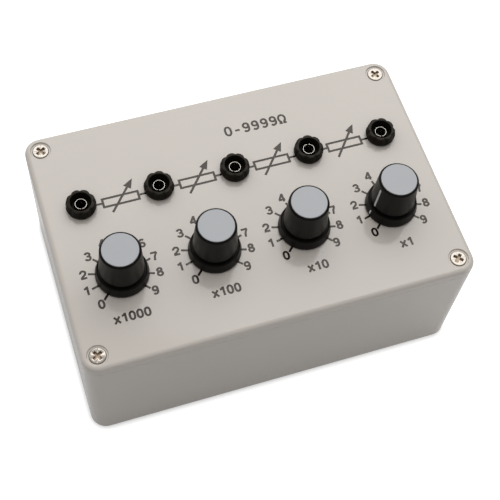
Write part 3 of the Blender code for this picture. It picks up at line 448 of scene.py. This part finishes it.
def make_base():
    """The deep lower half: screw pillars, card guides and a lip that enters the lid."""
    rim = LID_RIM - JOINT_GAP
    base = case_block("base_moulding", 0, rim)
    pick(base, "EDGE", lambda e: at_height(e, 0))
    bpy.ops.mesh.bevel(offset=FOOT_ROUND, segments=4, affect="EDGES")
    pick(base, "EDGE", lambda e: at_height(e, rim))
    bpy.ops.mesh.bevel(offset=JOINT_EDGE, segments=2, affect="EDGES")
    hollowed(base, rim, FLOOR_TOP - rim)
    bpy.ops.object.mode_set(mode="OBJECT")
    carved(base, posts("pillar", PILLAR_RADIUS, FLOOR_TOP / 2, rim - PILLAR_DROP, SCREWS), "UNION")
    inside_y, inside_x = DEPTH / 2 - WALL, LENGTH / 2 - WALL
    ribs = []
    for x in GUIDE_PLACES:
        for side in (-1, 1):
            for shift in GUIDE_SHIFTS:
                place = ((x + shift) * MM, side * (inside_y - GUIDE_INSET), GUIDE_MIDDLE)
                bpy.ops.mesh.primitive_cube_add(size=1, location=place, scale=GUIDE_SIZE)
                ribs.append(begun("rib"))
    along, across = UPSTAND_LENGTHS
    half = UPSTAND_THICKNESS / 2
    for side in (-1, 1):
        for size, place in (
                ((along, UPSTAND_THICKNESS, UPSTAND_HEIGHT), (0, side * (inside_y - half), UPSTAND_MIDDLE)),
                ((UPSTAND_THICKNESS, across, UPSTAND_HEIGHT), (side * (inside_x - half), 0, UPSTAND_MIDDLE))):
            bpy.ops.mesh.primitive_cube_add(size=1, location=place, scale=size)
            ribs.append(begun("lip"))
    for rib in ribs:
        carved(base, rib, "UNION")
    carved(base, posts("pillar_hole", SCREW_HOLE, PILLAR_HOLE_FLOOR, rim + MM, SCREWS, 32))
    return finished(smoothed(base), "box", case_grey, "case_grey", "enclosure_base")


# Screws

SCREW_TURNS = (30, 32, 45, 28)    # how far each cross was turned when it was tightened, in degrees
SCREW_TOP = 57.8 * MM
SCREW_OUTLINE = ((0, -0.2), (3.05, -0.2, 0.3), (3.05, -1.8, 0.15), (1.5, -1.8), (1.5, -14.6), (0.5, -16.2),
                 (0, -16.2))      # radius, height above the panel and rounding of each corner, in mm
WING_SIZE = (4.75 * MM, 1.35 * MM, 2.0 * MM)    # one slot of the cross, half of it above the head
WING_TAPER = (0.65, 0.7, 1)                     # its floor, as a share of its mouth
NOTCH_SIZE = (1.2 * MM, 0.14 * MM, 0.16 * MM)   # the shallow tick between two wings
NOTCH_PLACE = 2.0 * MM                          # its middle, from the screw's axis
SCREW_EDGE = 0.05 * MM


def make_screws():
    """Four plated screws with a deep cross recess and four shallow ticks between its wings."""
    screw = turned("screw", above_panel(SCREW_OUTLINE), closed=False, around=SMALL_AROUND)
    for quarter in (0, 90):
        bpy.ops.mesh.primitive_cube_add(size=1, location=(0, 0, SCREW_TOP), scale=WING_SIZE)
        wing = begun("wing")
        bpy.ops.object.mode_set(mode="EDIT")
        pick(wing, "FACE", lambda f: at_height(f, SCREW_TOP - WING_SIZE[2] / 2))
        bpy.ops.transform.resize(value=WING_TAPER, center_override=(0, 0, SCREW_TOP))
        bpy.ops.object.mode_set(mode="OBJECT")
        carved(screw, copied(wing, "wing_cutter", turn=quarter))
        bpy.data.objects.remove(wing)
    for quarter in range(4):
        bpy.ops.mesh.primitive_cube_add(size=1, location=(NOTCH_PLACE, 0, SCREW_TOP), scale=NOTCH_SIZE)
        tick = begun("tick")
        carved(screw, copied(tick, "tick_cutter", turn=45 + 90 * quarter))
        bpy.data.objects.remove(tick)
    modified(screw, "BEVEL", width=SCREW_EDGE, segments=2, limit_method="ANGLE",
             angle_limit=math.radians(40))
    bpy.ops.object.mode_set(mode="EDIT")
    bpy.ops.mesh.select_all(action="SELECT")
    bpy.ops.mesh.remove_doubles(threshold=WELD)
    bpy.ops.object.mode_set(mode="OBJECT")
    smoothed(screw)
    for number, (place, turn) in enumerate(zip(SCREWS, SCREW_TURNS), 1):
        finished(copied(screw, f"screw_{number}_plated", place, turn), "box", zinc, "nickel",
                 f"lid_screw_{number}")
    bpy.data.objects.remove(screw)


# Sockets

SOCKET_TURNS = (11, 28, 4, 35, 20)   # how far each head was turned when it was tightened, in degrees
SLIT_TURNS = (2, -14, -25, 176, -4)  # how far each contact was turned further than CONTACT_TURN, in degrees
CONTACT_TURN = 257                   # turns a contact's slit from 353 degrees to 250
CONTACT_SWEEP = 346                  # how far round a contact goes, in degrees; the slit is the rest

# Radius, height above the panel and rounding of each corner, in mm
HEAD_FOOT = 0.06
HEAD_OUTLINE = ((3.85, -13), (3.85, HEAD_FOOT), (5.4, HEAD_FOOT, 0.25), (5.85, 1.7, 1.3), (5.4, 4.05, 0.55),
                (4.0, 4.2, 0.18), (3.55, 0.6), (2.65, 0.6), (2.65, -13))
CONTACT_OUTLINE = ((2.0, -15.2), (2.45, -15.2), (2.45, 1.2, 0.1), (2.26, 1.5, 0.1), (2.22, 2.5, 0.05),
                   (2.06, 2.5, 0.05), (2.0, 2.1))
HEAD_AROUND = 192                    # enough facets for smooth flutes
TAIL_SIZE = (3.2 * MM, 0.8 * MM, 7.0 * MM)
TAIL_PLACE = (0, 1.94 * MM, 41.3 * MM)

LOBES = 8
FLUTE = 0.58 * MM                    # depth of the flutes at the rim
FLUTE_SHARPNESS = 1.25               # a higher value makes narrower flutes
FLUTE_START = 0.6 * MM               # they begin this far above the head's foot
FLUTE_RISE = 2.3 * MM                # and take this much height to reach their depth
FLUTE_INSIDE = 4.2 * MM              # nearer to the axis there are none
FLUTE_BLEND = 0.9 * MM               # and this much further out they have their depth


def fluted(head):
    """Press eight flutes into a socket's head, which fade into its round foot."""
    foot = PANEL + HEAD_FOOT * MM
    for vertex in head.data.vertices:
        reach = vertex.co.xy.length
        rise = (vertex.co.z - foot - FLUTE_START) / FLUTE_RISE
        if rise <= 0 or reach < FLUTE_INSIDE:
            continue
        rise = min(rise, 1)
        outer = min(max((reach - FLUTE_INSIDE) / FLUTE_BLEND, 0), 1)
        angle = math.atan2(vertex.co.y, vertex.co.x)
        wave = (1 - abs(math.cos(LOBES / 2 * angle))) ** FLUTE_SHARPNESS
        depth = FLUTE * wave * (rise * rise * (3 - 2 * rise)) * outer
        vertex.co.x *= 1 - depth / reach
        vertex.co.y *= 1 - depth / reach


def make_sockets():
    """Five black heads with fluted rims, each with its sprung contact."""
    head = turned("socket", above_panel(HEAD_OUTLINE), around=HEAD_AROUND, steps=6)
    fluted(head)
    smoothed(head, 50)
    contact = turned("contact", above_panel(CONTACT_OUTLINE), sweep=math.radians(CONTACT_SWEEP),
                     around=SMALL_AROUND, steps=3)
    bpy.ops.object.mode_set(mode="EDIT")
    bpy.ops.mesh.select_mode(type="EDGE")
    bpy.ops.mesh.select_all(action="SELECT")
    bpy.ops.mesh.fill_holes(sides=0)
    bpy.ops.mesh.select_all(action="SELECT")
    bpy.ops.mesh.normals_make_consistent(inside=False)
    bpy.ops.object.mode_set(mode="OBJECT")
    bpy.ops.mesh.primitive_cube_add(size=1, location=TAIL_PLACE, scale=TAIL_SIZE)
    tail = begun("tail")
    for number, (place, turn, slit) in enumerate(zip(SOCKETS, SOCKET_TURNS, SLIT_TURNS), 1):
        finished(copied(head, f"socket_{number}_head", place, turn), "box", socket_black, "socket_black",
                 f"socket_{number}_body")
        tube = copied(contact, "tube", turn=CONTACT_TURN + slit)
        carved(tube, copied(tail, "tail_copy"), "UNION")
        smoothed(tube)
        finished(copied(tube, f"socket_{number}_tube", place), "box", nickel, "nickel",
                 f"socket_{number}_contact")
        bpy.data.objects.remove(tube)
    for spare in (head, contact, tail):
        bpy.data.objects.remove(spare)


# Knobs

REST_FIGURES = (5, 5, 5, 1)
POINTER_TRIM = (0, 0, 0, -4)      # how far each knob was fitted off its figure, in degrees
NOUGHT_AT, FIGURE_STEP = 225, 30  # the direction of figure 0, and from each to the next, in degrees

# Radius, height above the panel and rounding of each corner, in mm
SKIRT_OUTLINE = ((8.9, 0.4), (9.9, 0.4, 0.1), (9.9, 1.3, 0.35), (9.25, 4.15, 0.35), (8.95, 4.45, 0.15),
                 (8.7, 4.1, 0.15), (5.2, 4.1, 0.1), (5.2, 3.6), (7.9, 3.6))
BODY_OUTLINE = ((5.3, 4.6), (8.34, 4.6, 1.5), (7.44, 18.1, 0.3), (6.82, 18.74, 0.12), (6.72, 18.74, 0.05),
                (6.72, 17.2), (6.07, 17.2), (6.07, 13), (4.2, 13), (4.2, 6.6))
CAP_OUTLINE = ((0, 18.8), (6.65, 18.8, 0.25), (6.65, 17.5), (5.5, 17.5), (5.5, 16.1), (0, 16.1))
POINTER_ENDS = {"line": ((8.31, 5.9), (7.55, 16.6)), "mark": ((9.83, 1.5), (9.39, 3.45))}
POINTER_WIDTHS = {"line": 0.8 * MM, "mark": 0.7 * MM}
PAINT_THICKNESS, PAINT_EDGE = 0.16 * MM, 0.03 * MM


def dial_angle(figure):
    """The direction of a figure from its knob's axis, in degrees."""
    return NOUGHT_AT - FIGURE_STEP * figure


def make_knobs():
    """Four black knobs: skirt, tapered body with a grey cap let into its top, and white pointer marks."""
    skirt = turned("skirt", above_panel(SKIRT_OUTLINE))
    body = turned("body", above_panel(BODY_OUTLINE))
    cap = turned("cap", above_panel(CAP_OUTLINE), closed=False)
    for piece in (skirt, body, cap):
        smoothed(piece, 45)
    for number, (place, figure, trim) in enumerate(zip(KNOBS, REST_FIGURES, POINTER_TRIM), 1):
        carrier = f"selector_{number}"
        turn = dial_angle(figure) + trim
        for part, master, finish, slot in (("skirt", skirt, knob_black, "knob_black"),
                                           ("body", body, knob_black, "knob_black"),
                                           ("cap", cap, cap_grey, "cap_grey")):
            finished(copied(master, f"knob_{number}_{part}_moulding", place, turn), carrier, finish, slot,
                     f"knob_{number}_{part}")
        for name, ends in POINTER_ENDS.items():
            mark = painted_bar(name, *above_panel(ends), POINTER_WIDTHS[name])
            finished(copied(mark, f"knob_{number}_pointer_{name}", place, turn), carrier, mark_white,
                     "cap_grey")
            bpy.data.objects.remove(mark)
    for spare in (skirt, body, cap):
        bpy.data.objects.remove(spare)


def painted_bar(name, foot, head, width):
    """A filled mark that follows a slope from one (radius, height) to another, with rounded ends."""
    low, high = Vector((foot[0], 0, foot[1])), Vector((head[0], 0, head[1]))
    along = high - low
    bpy.ops.mesh.primitive_cylinder_add(vertices=32, radius=width / 2, depth=PAINT_THICKNESS)
    bar = begun(name)
    bpy.ops.object.mode_set(mode="EDIT")
    pick(bar, "VERT", lambda v: v.co.y > -WELD)
    bpy.ops.transform.translate(value=(0, along.length - width, 0))
    bpy.ops.mesh.select_all(action="SELECT")
    bpy.ops.transform.translate(value=(0, -(along.length - width) / 2, 0))
    bpy.ops.object.mode_set(mode="OBJECT")
    modified(bar, "BEVEL", width=PAINT_EDGE, segments=2, limit_method="ANGLE",
             angle_limit=math.radians(60))
    across = Vector((0, 1, 0))
    outward = across.cross(along.normalized())
    turn = Matrix((across, along.normalized(), outward)).transposed().to_4x4()
    bar.matrix_world = Matrix.Translation((low + high) / 2) @ turn
    only(bar)
    bpy.ops.object.transform_apply(location=True, rotation=True, scale=True)
    smoothed(bar)
    return bar


# Printing on the panel

STROKE = 0.235                    # pen's width, as a share of a figure's height
FINE_STROKE = 0.195               # the same for the larger range figures
INK_SHARE = 0.01                  # thickness of a drawn figure before it is scaled
INK_SUNK, INK_PROUD = 0.02 * MM, 0.015 * MM


def arc(x, y, rx, ry, start, end, steps=18):
    """Points along part of an ellipse, from one direction to another in degrees."""
    return [(x + rx * math.cos(math.radians(start + (end - start) * i / steps)),
             y + ry * math.sin(math.radians(start + (end - start) * i / steps))) for i in range(steps + 1)]


# Each figure's strokes, at a height of 1
FIGURES = {
    "0": [("loop", arc(0.32, 0.60, 0.25, 0.33, 0, 180) + arc(0.32, 0.40, 0.25, 0.33, 180, 360))],
    "1": [("line", [(0.38, 0.0), (0.38, 1.0)]),
          ("line", [(0.03, 0.735), (0.17, 0.75), (0.28, 0.80), (0.355, 0.90)])],
    "2": [("line", arc(0.32, 0.68, 0.26, 0.24, 190, -20) + [(0.46, 0.44), (0.18, 0.24), (0.09, 0.12)]),
          ("line", [(0.0, 0.078), (0.65, 0.078)])],
    "3": [("line", arc(0.305, 0.71, 0.245, 0.21, 165, -80)),
          ("line", arc(0.31, 0.30, 0.265, 0.225, 80, -170)),
          ("line", [(0.21, 0.515), (0.34, 0.515)])],
    "4": [("line", [(0.50, 0.0), (0.50, 1.0)]), ("line", [(-0.03, 0.26), (0.69, 0.26)]),
          ("line", [(0.03, 0.26), (0.475, 0.96)])],
    "5": [("line", [(0.14, 0.92), (0.56, 0.92)]), ("line", [(0.17, 0.95), (0.11, 0.50)]),
          ("line", arc(0.31, 0.315, 0.245, 0.24, 148, -168))],
    "6": [("loop", arc(0.325, 0.31, 0.24, 0.235, 0, 340, 20)),
          ("line", [(0.085, 0.31), (0.085, 0.50)] + arc(0.345, 0.62, 0.26, 0.30, 175, 40, 10))],
    "7": [("line", [(-0.02, 0.92), (0.68, 0.92)]),
          ("line", [(0.64, 0.90), (0.48, 0.66), (0.37, 0.42), (0.29, 0.0)])],
    "8": [("loop", arc(0.32, 0.735, 0.215, 0.188, 0, 345, 22)),
          ("loop", arc(0.32, 0.295, 0.255, 0.218, 0, 345, 22))],
    "x": [("line", [(0.0, 0.0), (0.58, 0.76)]), ("line", [(0.0, 0.76), (0.58, 0.0)])],
    "to": [("line", [(0.08, 0.40), (0.50, 0.40)])],
    "ohm": [("line", [(0.06, 0.078), (0.27, 0.078), (0.27, 0.17)] + arc(0.40, 0.55, 0.30, 0.37, 235, -55, 24)
             + [(0.53, 0.17), (0.53, 0.078), (0.74, 0.078)])],
}
USUAL_WIDTH = 0.64
WIDTHS = {"1": 0.56, "x": 0.58, "to": 0.58, "ohm": 0.82}
NINE_SHIFT = (0.65, 1, 0)         # brings a 6 that was turned upside down back to its place


def stroke(points, width, thickness, closed=False):
    """A flat stroke: a line raised into a band and thickened evenly."""
    piece = drawn("stroke", [(x, y, 0) for x, y in points], closed)
    bpy.ops.object.mode_set(mode="EDIT")
    bpy.ops.mesh.select_all(action="SELECT")
    bpy.ops.mesh.extrude_region_move(TRANSFORM_OT_translate={"value": (0, 0, thickness)})
    bpy.ops.object.mode_set(mode="OBJECT")
    modified(piece, "SOLIDIFY", thickness=width, offset=0, use_even_offset=True)
    bpy.ops.object.mode_set(mode="EDIT")
    bpy.ops.mesh.select_all(action="SELECT")
    bpy.ops.mesh.normals_make_consistent(inside=False)
    bpy.ops.object.mode_set(mode="OBJECT")
    return piece


def drawn_figure(name, pen=STROKE):
    """A figure drawn once at a height of 1, its strokes welded."""
    strokes = [stroke(points, pen, INK_SHARE, kind == "loop") for kind, points in FIGURES[name]]
    figure = strokes[0]
    for other in strokes[1:]:
        carved(figure, other, "UNION")
    return figure


def lettered(masters, words, centre, height, pitch=None):
    """A row of figures centred on a point of the panel, side by side or at an even pitch."""
    widths = [WIDTHS.get(word, USUAL_WIDTH) for word in words]
    cells = [pitch / height for word in words] if pitch else widths
    x = -sum(cells) / 2
    made = []
    for word, width, cell in zip(words, widths, cells):
        copy = masters[word].copy()
        copy.data = masters[word].data.copy()
        bpy.context.scene.collection.objects.link(copy)
        copy.scale = (height, height, (INK_SUNK + INK_PROUD) / INK_SHARE)
        copy.location = (centre[0] + (x + (cell - width) / 2) * height, centre[1] - height / 2,
                         PANEL - INK_SUNK)
        only(copy)
        bpy.ops.object.transform_apply(location=True, rotation=True, scale=True)
        made.append(copy)
        x += cell
    return made


def inked(points, width, closed=False):
    """A stroke of ink on the panel through points in metres."""
    piece = stroke(points, width, INK_SUNK + INK_PROUD, closed)
    piece.location.z = PANEL - INK_SUNK
    only(piece)
    bpy.ops.object.transform_apply(location=True, rotation=True, scale=True)
    return piece


DIAL_LABELS = (("x", "1", "0", "0", "0"), ("x", "1", "0", "0"), ("x", "1", "0"), ("x", "1"))
RANGE = ("0", "to", "9", "9", "9", "9", "ohm")
RANGE_PLACE = (14 * MM, 33.1 * MM)
RANGE_HEIGHT, RANGE_PITCH = 4.4 * MM, 3.7 * MM
FIGURE_HEIGHT = 3.5 * MM
LABEL_PITCH = 2.8 * MM
TICK_INSIDE, TICK_OUTSIDE = 9.2 * MM, 12.1 * MM
TICK_WIDTH = 0.85 * MM

# Where each dial is printed, in mm: its middle and its label off the knob's axis, its figures off the ticks
DIAL_CENTRES = ((-0.3, 0.1), (-0.25, 0.15), (-0.1, 0.2), (0.0, 0.25))
LABEL_PLACES = ((-0.79, -16.97), (-0.65, -16.82), (-0.28, -16.66), (0.18, -16.59))
FIGURE_SHIFTS = ((0.22, -0.1), (0.12, 0.0), (-0.03, 0.1), (0.15, 0.15))
# Figures 0 to 9 from the dial's middle, in mm and degrees
FIGURE_PLACES = ((14.0, 224), (14.2, 193), (14.0, 166), (14.4, 135), (14.65, 106), (14.4, 74), (14.4, 45),
                 (13.6, 16), (13.7, -12.5), (13.75, -44.5))

SIGN_PEN = 0.9 * MM
SIGN_HALF_LENGTH, SIGN_HALF_WIDTH = 6.85 * MM, 1.75 * MM
SIGN_DROPS = (0.6, 0.45, 0.3, 0.15)     # how far the signs were printed in front of the sockets' row, in mm
LEAD_START = 4.4 * MM                   # from the socket's axis, hidden under its head
LEAD_LAP = 0.1 * MM                     # how far a lead runs into the bar's outline
ARROW_TAIL, ARROW_TIP = (-4.2, -5.3), (6.35, 7.1)   # from the middle of the sockets' row, in mm
TIP_RISES = (0.0, 0.2, 0.3, 0.7)        # how much further each sign's arrow reaches, in mm
ARROWHEAD, ARROWHEAD_HALF_WIDTH = 4.3 * MM, 1.65 * MM
SHAFT_LAP = 0.4 * MM                    # how far the arrow's shaft runs into its head


def make_printing():
    """Figures and ticks round each knob, the multiplier below it, and the range at the top."""
    masters = {name: drawn_figure(name) for name in FIGURES}
    masters["9"] = copied(masters["6"], "nine", NINE_SHIFT, 180)
    fine = {name: drawn_figure(name, FINE_STROKE) for name in ("0", "6", "to", "ohm")}
    fine["9"] = copied(fine["6"], "fine_nine", NINE_SHIFT, 180)
    for number, (knob, centre, shift, label, low) in enumerate(
            zip(KNOBS, DIAL_CENTRES, FIGURE_SHIFTS, DIAL_LABELS, LABEL_PLACES), 1):
        middle_x, middle_y = knob.x + centre[0] * MM, knob.y + centre[1] * MM
        marks = []
        for figure in range(10):
            out, angle = FIGURE_PLACES[figure]
            place = (middle_x + (shift[0] + out * math.cos(math.radians(angle))) * MM,
                     middle_y + (shift[1] + out * math.sin(math.radians(angle))) * MM)
            marks += lettered(masters, [str(figure)], place, FIGURE_HEIGHT)
            angle = math.radians(dial_angle(figure))
            marks.append(inked([(middle_x + r * math.cos(angle), middle_y + r * math.sin(angle))
                                for r in (TICK_INSIDE, TICK_OUTSIDE)], TICK_WIDTH))
        below = (knob.x + low[0] * MM, knob.y + low[1] * MM)
        marks += lettered(masters, label, below, FIGURE_HEIGHT, LABEL_PITCH)
        finished(joined(f"dial_{number}_print", marks), "box", ink, "nut_black")
    span = lettered(fine, RANGE, RANGE_PLACE, RANGE_HEIGHT, RANGE_PITCH)
    finished(joined("range_print", span), "box", ink, "nut_black")
    for number, (left, right, drop, rise) in enumerate(zip(SOCKETS, SOCKETS[1:], SIGN_DROPS, TIP_RISES), 1):
        resistor_sign(left, right, drop * MM, rise * MM, number)
    for master in (*masters.values(), *fine.values()):
        bpy.data.objects.remove(master)


def resistor_sign(left, right, drop, rise, number):
    """The drawn sign of a variable resistor between two sockets: a bar on a line, crossed by an arrow."""
    row, x = left.y - drop, (left.x + right.x) / 2
    near, far = row - SIGN_HALF_WIDTH, row + SIGN_HALF_WIDTH
    start, end = x - SIGN_HALF_LENGTH, x + SIGN_HALF_LENGTH
    parts = [inked([(start, near), (end, near), (end, far), (start, far)], SIGN_PEN, True)]
    for side, socket in ((-1, left), (1, right)):
        parts.append(inked([(socket.x - side * LEAD_START, row),
                            (x + side * (SIGN_HALF_LENGTH - LEAD_LAP), row)], SIGN_PEN))
    tail = Vector((x + ARROW_TAIL[0] * MM, left.y + ARROW_TAIL[1] * MM))
    tip = Vector((x + ARROW_TIP[0] * MM, left.y + ARROW_TIP[1] * MM + rise))
    along = (tip - tail).normalized()
    side = Vector((-along.y, along.x))
    base = tip - along * ARROWHEAD
    parts.append(inked([tail, base + along * SHAFT_LAP], SIGN_PEN))
    bpy.ops.mesh.primitive_circle_add(vertices=3, radius=MM, fill_type="NGON")
    head = begun("arrowhead")
    corners = (base + side * ARROWHEAD_HALF_WIDTH, base - side * ARROWHEAD_HALF_WIDTH, tip)
    for vertex, place in zip(head.data.vertices, corners):
        vertex.co = (place.x, place.y, PANEL - INK_SUNK)
    modified(head, "SOLIDIFY", thickness=INK_SUNK + INK_PROUD, offset=1)
    parts.append(head)
    whole = parts[0]
    for part in parts[1:]:
        carved(whole, part, "UNION")
    whole.name = whole.data.name = f"resistor_sign_{number}"
    return finished(whole, "box", ink, "nut_black")


# Studio

FLOOR_SIZE = 6                    # in metres
CAMERA_GLOW = 0.84                # with the lamps' light on top of it the floor shows white
MIRROR_GLOW = 0.2                 # how bright the floor is in mirror images
CONTACT_SHADOW = 2.4 * MM         # how far the dark line under the case's edge reaches
# Name, size in metres, power in watts, place in metres and turn in degrees
LAMPS = (("overhead_softbox", 1.1, 6.3, (0.46, 0.77, 1.06), (0, 0, 45)),
         ("right_card", 0.12, 0.13, (0.26, -0.22, 0.03), (90, 0, 51)))
SKY_BEHIND, SKY_ABOVE = 0.88, 0.8   # how strongly light comes from behind and from above
# The photograph's own view
CAMERA_ANGLES = (-24.5486, 62.0112, 7.5129)   # azimuth, elevation and roll, in degrees
CAMERA_TARGET = Vector((7.865 * MM, 8.966 * MM, 0))
CAMERA_DISTANCE = 477.216 * MM
CAMERA_LENS, CAMERA_FRAME = 80.24, 36         # in mm


def make_floor():
    """White paper that glows for the camera, with a dark line where the case stands on it."""
    bpy.ops.mesh.primitive_plane_add(size=FLOOR_SIZE)
    floor = begun("studio_floor")
    paper, shader = new_finish("white_paper", Roughness=0.9)
    shader.inputs["Base Color"].default_value = linear("#cacaca")
    rays = add_node(paper, "ShaderNodeLightPath")
    contact = add_node(paper, "ShaderNodeAmbientOcclusion", {"Distance": CONTACT_SHADOW})
    bare = add_node(paper, "ShaderNodeMath", {
        0: rays.outputs["Is Camera Ray"], 1: contact.outputs["AO"]}, operation="MULTIPLY")
    mirrored = add_node(paper, "ShaderNodeMath", {
        0: rays.outputs["Is Transmission Ray"], 1: rays.outputs["Is Glossy Ray"]}, operation="MAXIMUM")
    mirrored = add_node(paper, "ShaderNodeMath", {
        0: mirrored.outputs["Value"], 1: MIRROR_GLOW}, operation="MULTIPLY")
    seen = add_node(paper, "ShaderNodeMath", {
        0: bare.outputs["Value"], 1: CAMERA_GLOW, 2: mirrored.outputs["Value"]}, operation="MULTIPLY_ADD")
    glow = add_node(paper, "ShaderNodeEmission", {"Strength": seen.outputs["Value"]})
    glow.inputs["Color"].default_value = (1, 1, 1, 1)
    both = add_node(paper, "ShaderNodeAddShader", {0: shader.outputs["BSDF"], 1: glow.outputs["Emission"]})
    output = paper.node_tree.nodes["Material Output"]
    paper.node_tree.links.new(both.outputs["Shader"], output.inputs["Surface"])
    floor.data.materials.append(paper)


def hang_lamps():
    """A large soft lamp above and behind, and a small card low on the right."""
    for name, size, power, place, turn in LAMPS:
        lamp = bpy.data.lights.new(name, "AREA")
        lamp.shape, lamp.size, lamp.energy = "SQUARE", size, power
        holder = bpy.data.objects.new(name, lamp)
        bpy.context.scene.collection.objects.link(holder)
        holder.location, holder.rotation_euler = place, [math.radians(angle) for angle in turn]
        holder.visible_camera = False


def make_air():
    """Soft light from behind and above, which the camera sees as white."""
    world = bpy.data.worlds.new("studio_air")
    bpy.context.scene.world = world
    world.use_nodes = True
    air = world.node_tree.nodes["Background"]
    air.inputs["Color"].default_value = (1, 1, 1, 1)
    way = add_node(world, "ShaderNodeTexCoord")
    way = add_node(world, "ShaderNodeSeparateXYZ", {"Vector": way.outputs["Generated"]})
    behind = add_node(world, "ShaderNodeMath", {0: way.outputs["Y"], 1: 0.0}, operation="MAXIMUM")
    above = add_node(world, "ShaderNodeMath", {0: way.outputs["Z"], 1: 0.0}, operation="MAXIMUM")
    above = add_node(world, "ShaderNodeMath", {0: above.outputs["Value"], 1: SKY_ABOVE}, operation="MULTIPLY")
    soft = add_node(world, "ShaderNodeMath", {
        0: behind.outputs["Value"], 1: SKY_BEHIND, 2: above.outputs["Value"]}, operation="MULTIPLY_ADD")
    rays = add_node(world, "ShaderNodeLightPath")
    level = add_node(world, "ShaderNodeMapRange", {
        "Value": rays.outputs["Is Camera Ray"], "To Min": soft.outputs["Value"], "To Max": 1.0})
    world.node_tree.links.new(level.outputs["Result"], air.inputs["Strength"])


def make_camera():
    """The camera at the photograph's viewing angle, and plain colours."""
    azimuth, elevation, roll = (math.radians(angle) for angle in CAMERA_ANGLES)
    back = Vector((math.sin(azimuth) * math.cos(elevation), -math.cos(azimuth) * math.cos(elevation),
                   math.sin(elevation)))
    right = (-back).cross(Vector((0, 0, 1))).normalized()
    up = right.cross(-back)
    level_right = math.cos(roll) * right + math.sin(roll) * up
    level_up = -math.sin(roll) * right + math.cos(roll) * up
    lens = bpy.data.cameras.new("camera")
    lens.lens, lens.sensor_width = CAMERA_LENS, CAMERA_FRAME
    lens.clip_start, lens.clip_end = 0.01, 20
    camera = bpy.data.objects.new("camera", lens)
    bpy.context.scene.collection.objects.link(camera)
    camera.matrix_world = (Matrix.Translation(CAMERA_TARGET + back * CAMERA_DISTANCE)
                           @ Matrix((level_right, level_up, back)).transposed().to_4x4())
    bpy.context.scene.camera = camera
    bpy.context.scene.view_settings.view_transform = "Standard"


make_lid()
make_base()
make_screws()
make_sockets()
make_knobs()
make_printing()
make_floor()
hang_lamps()
make_air()
make_camera()
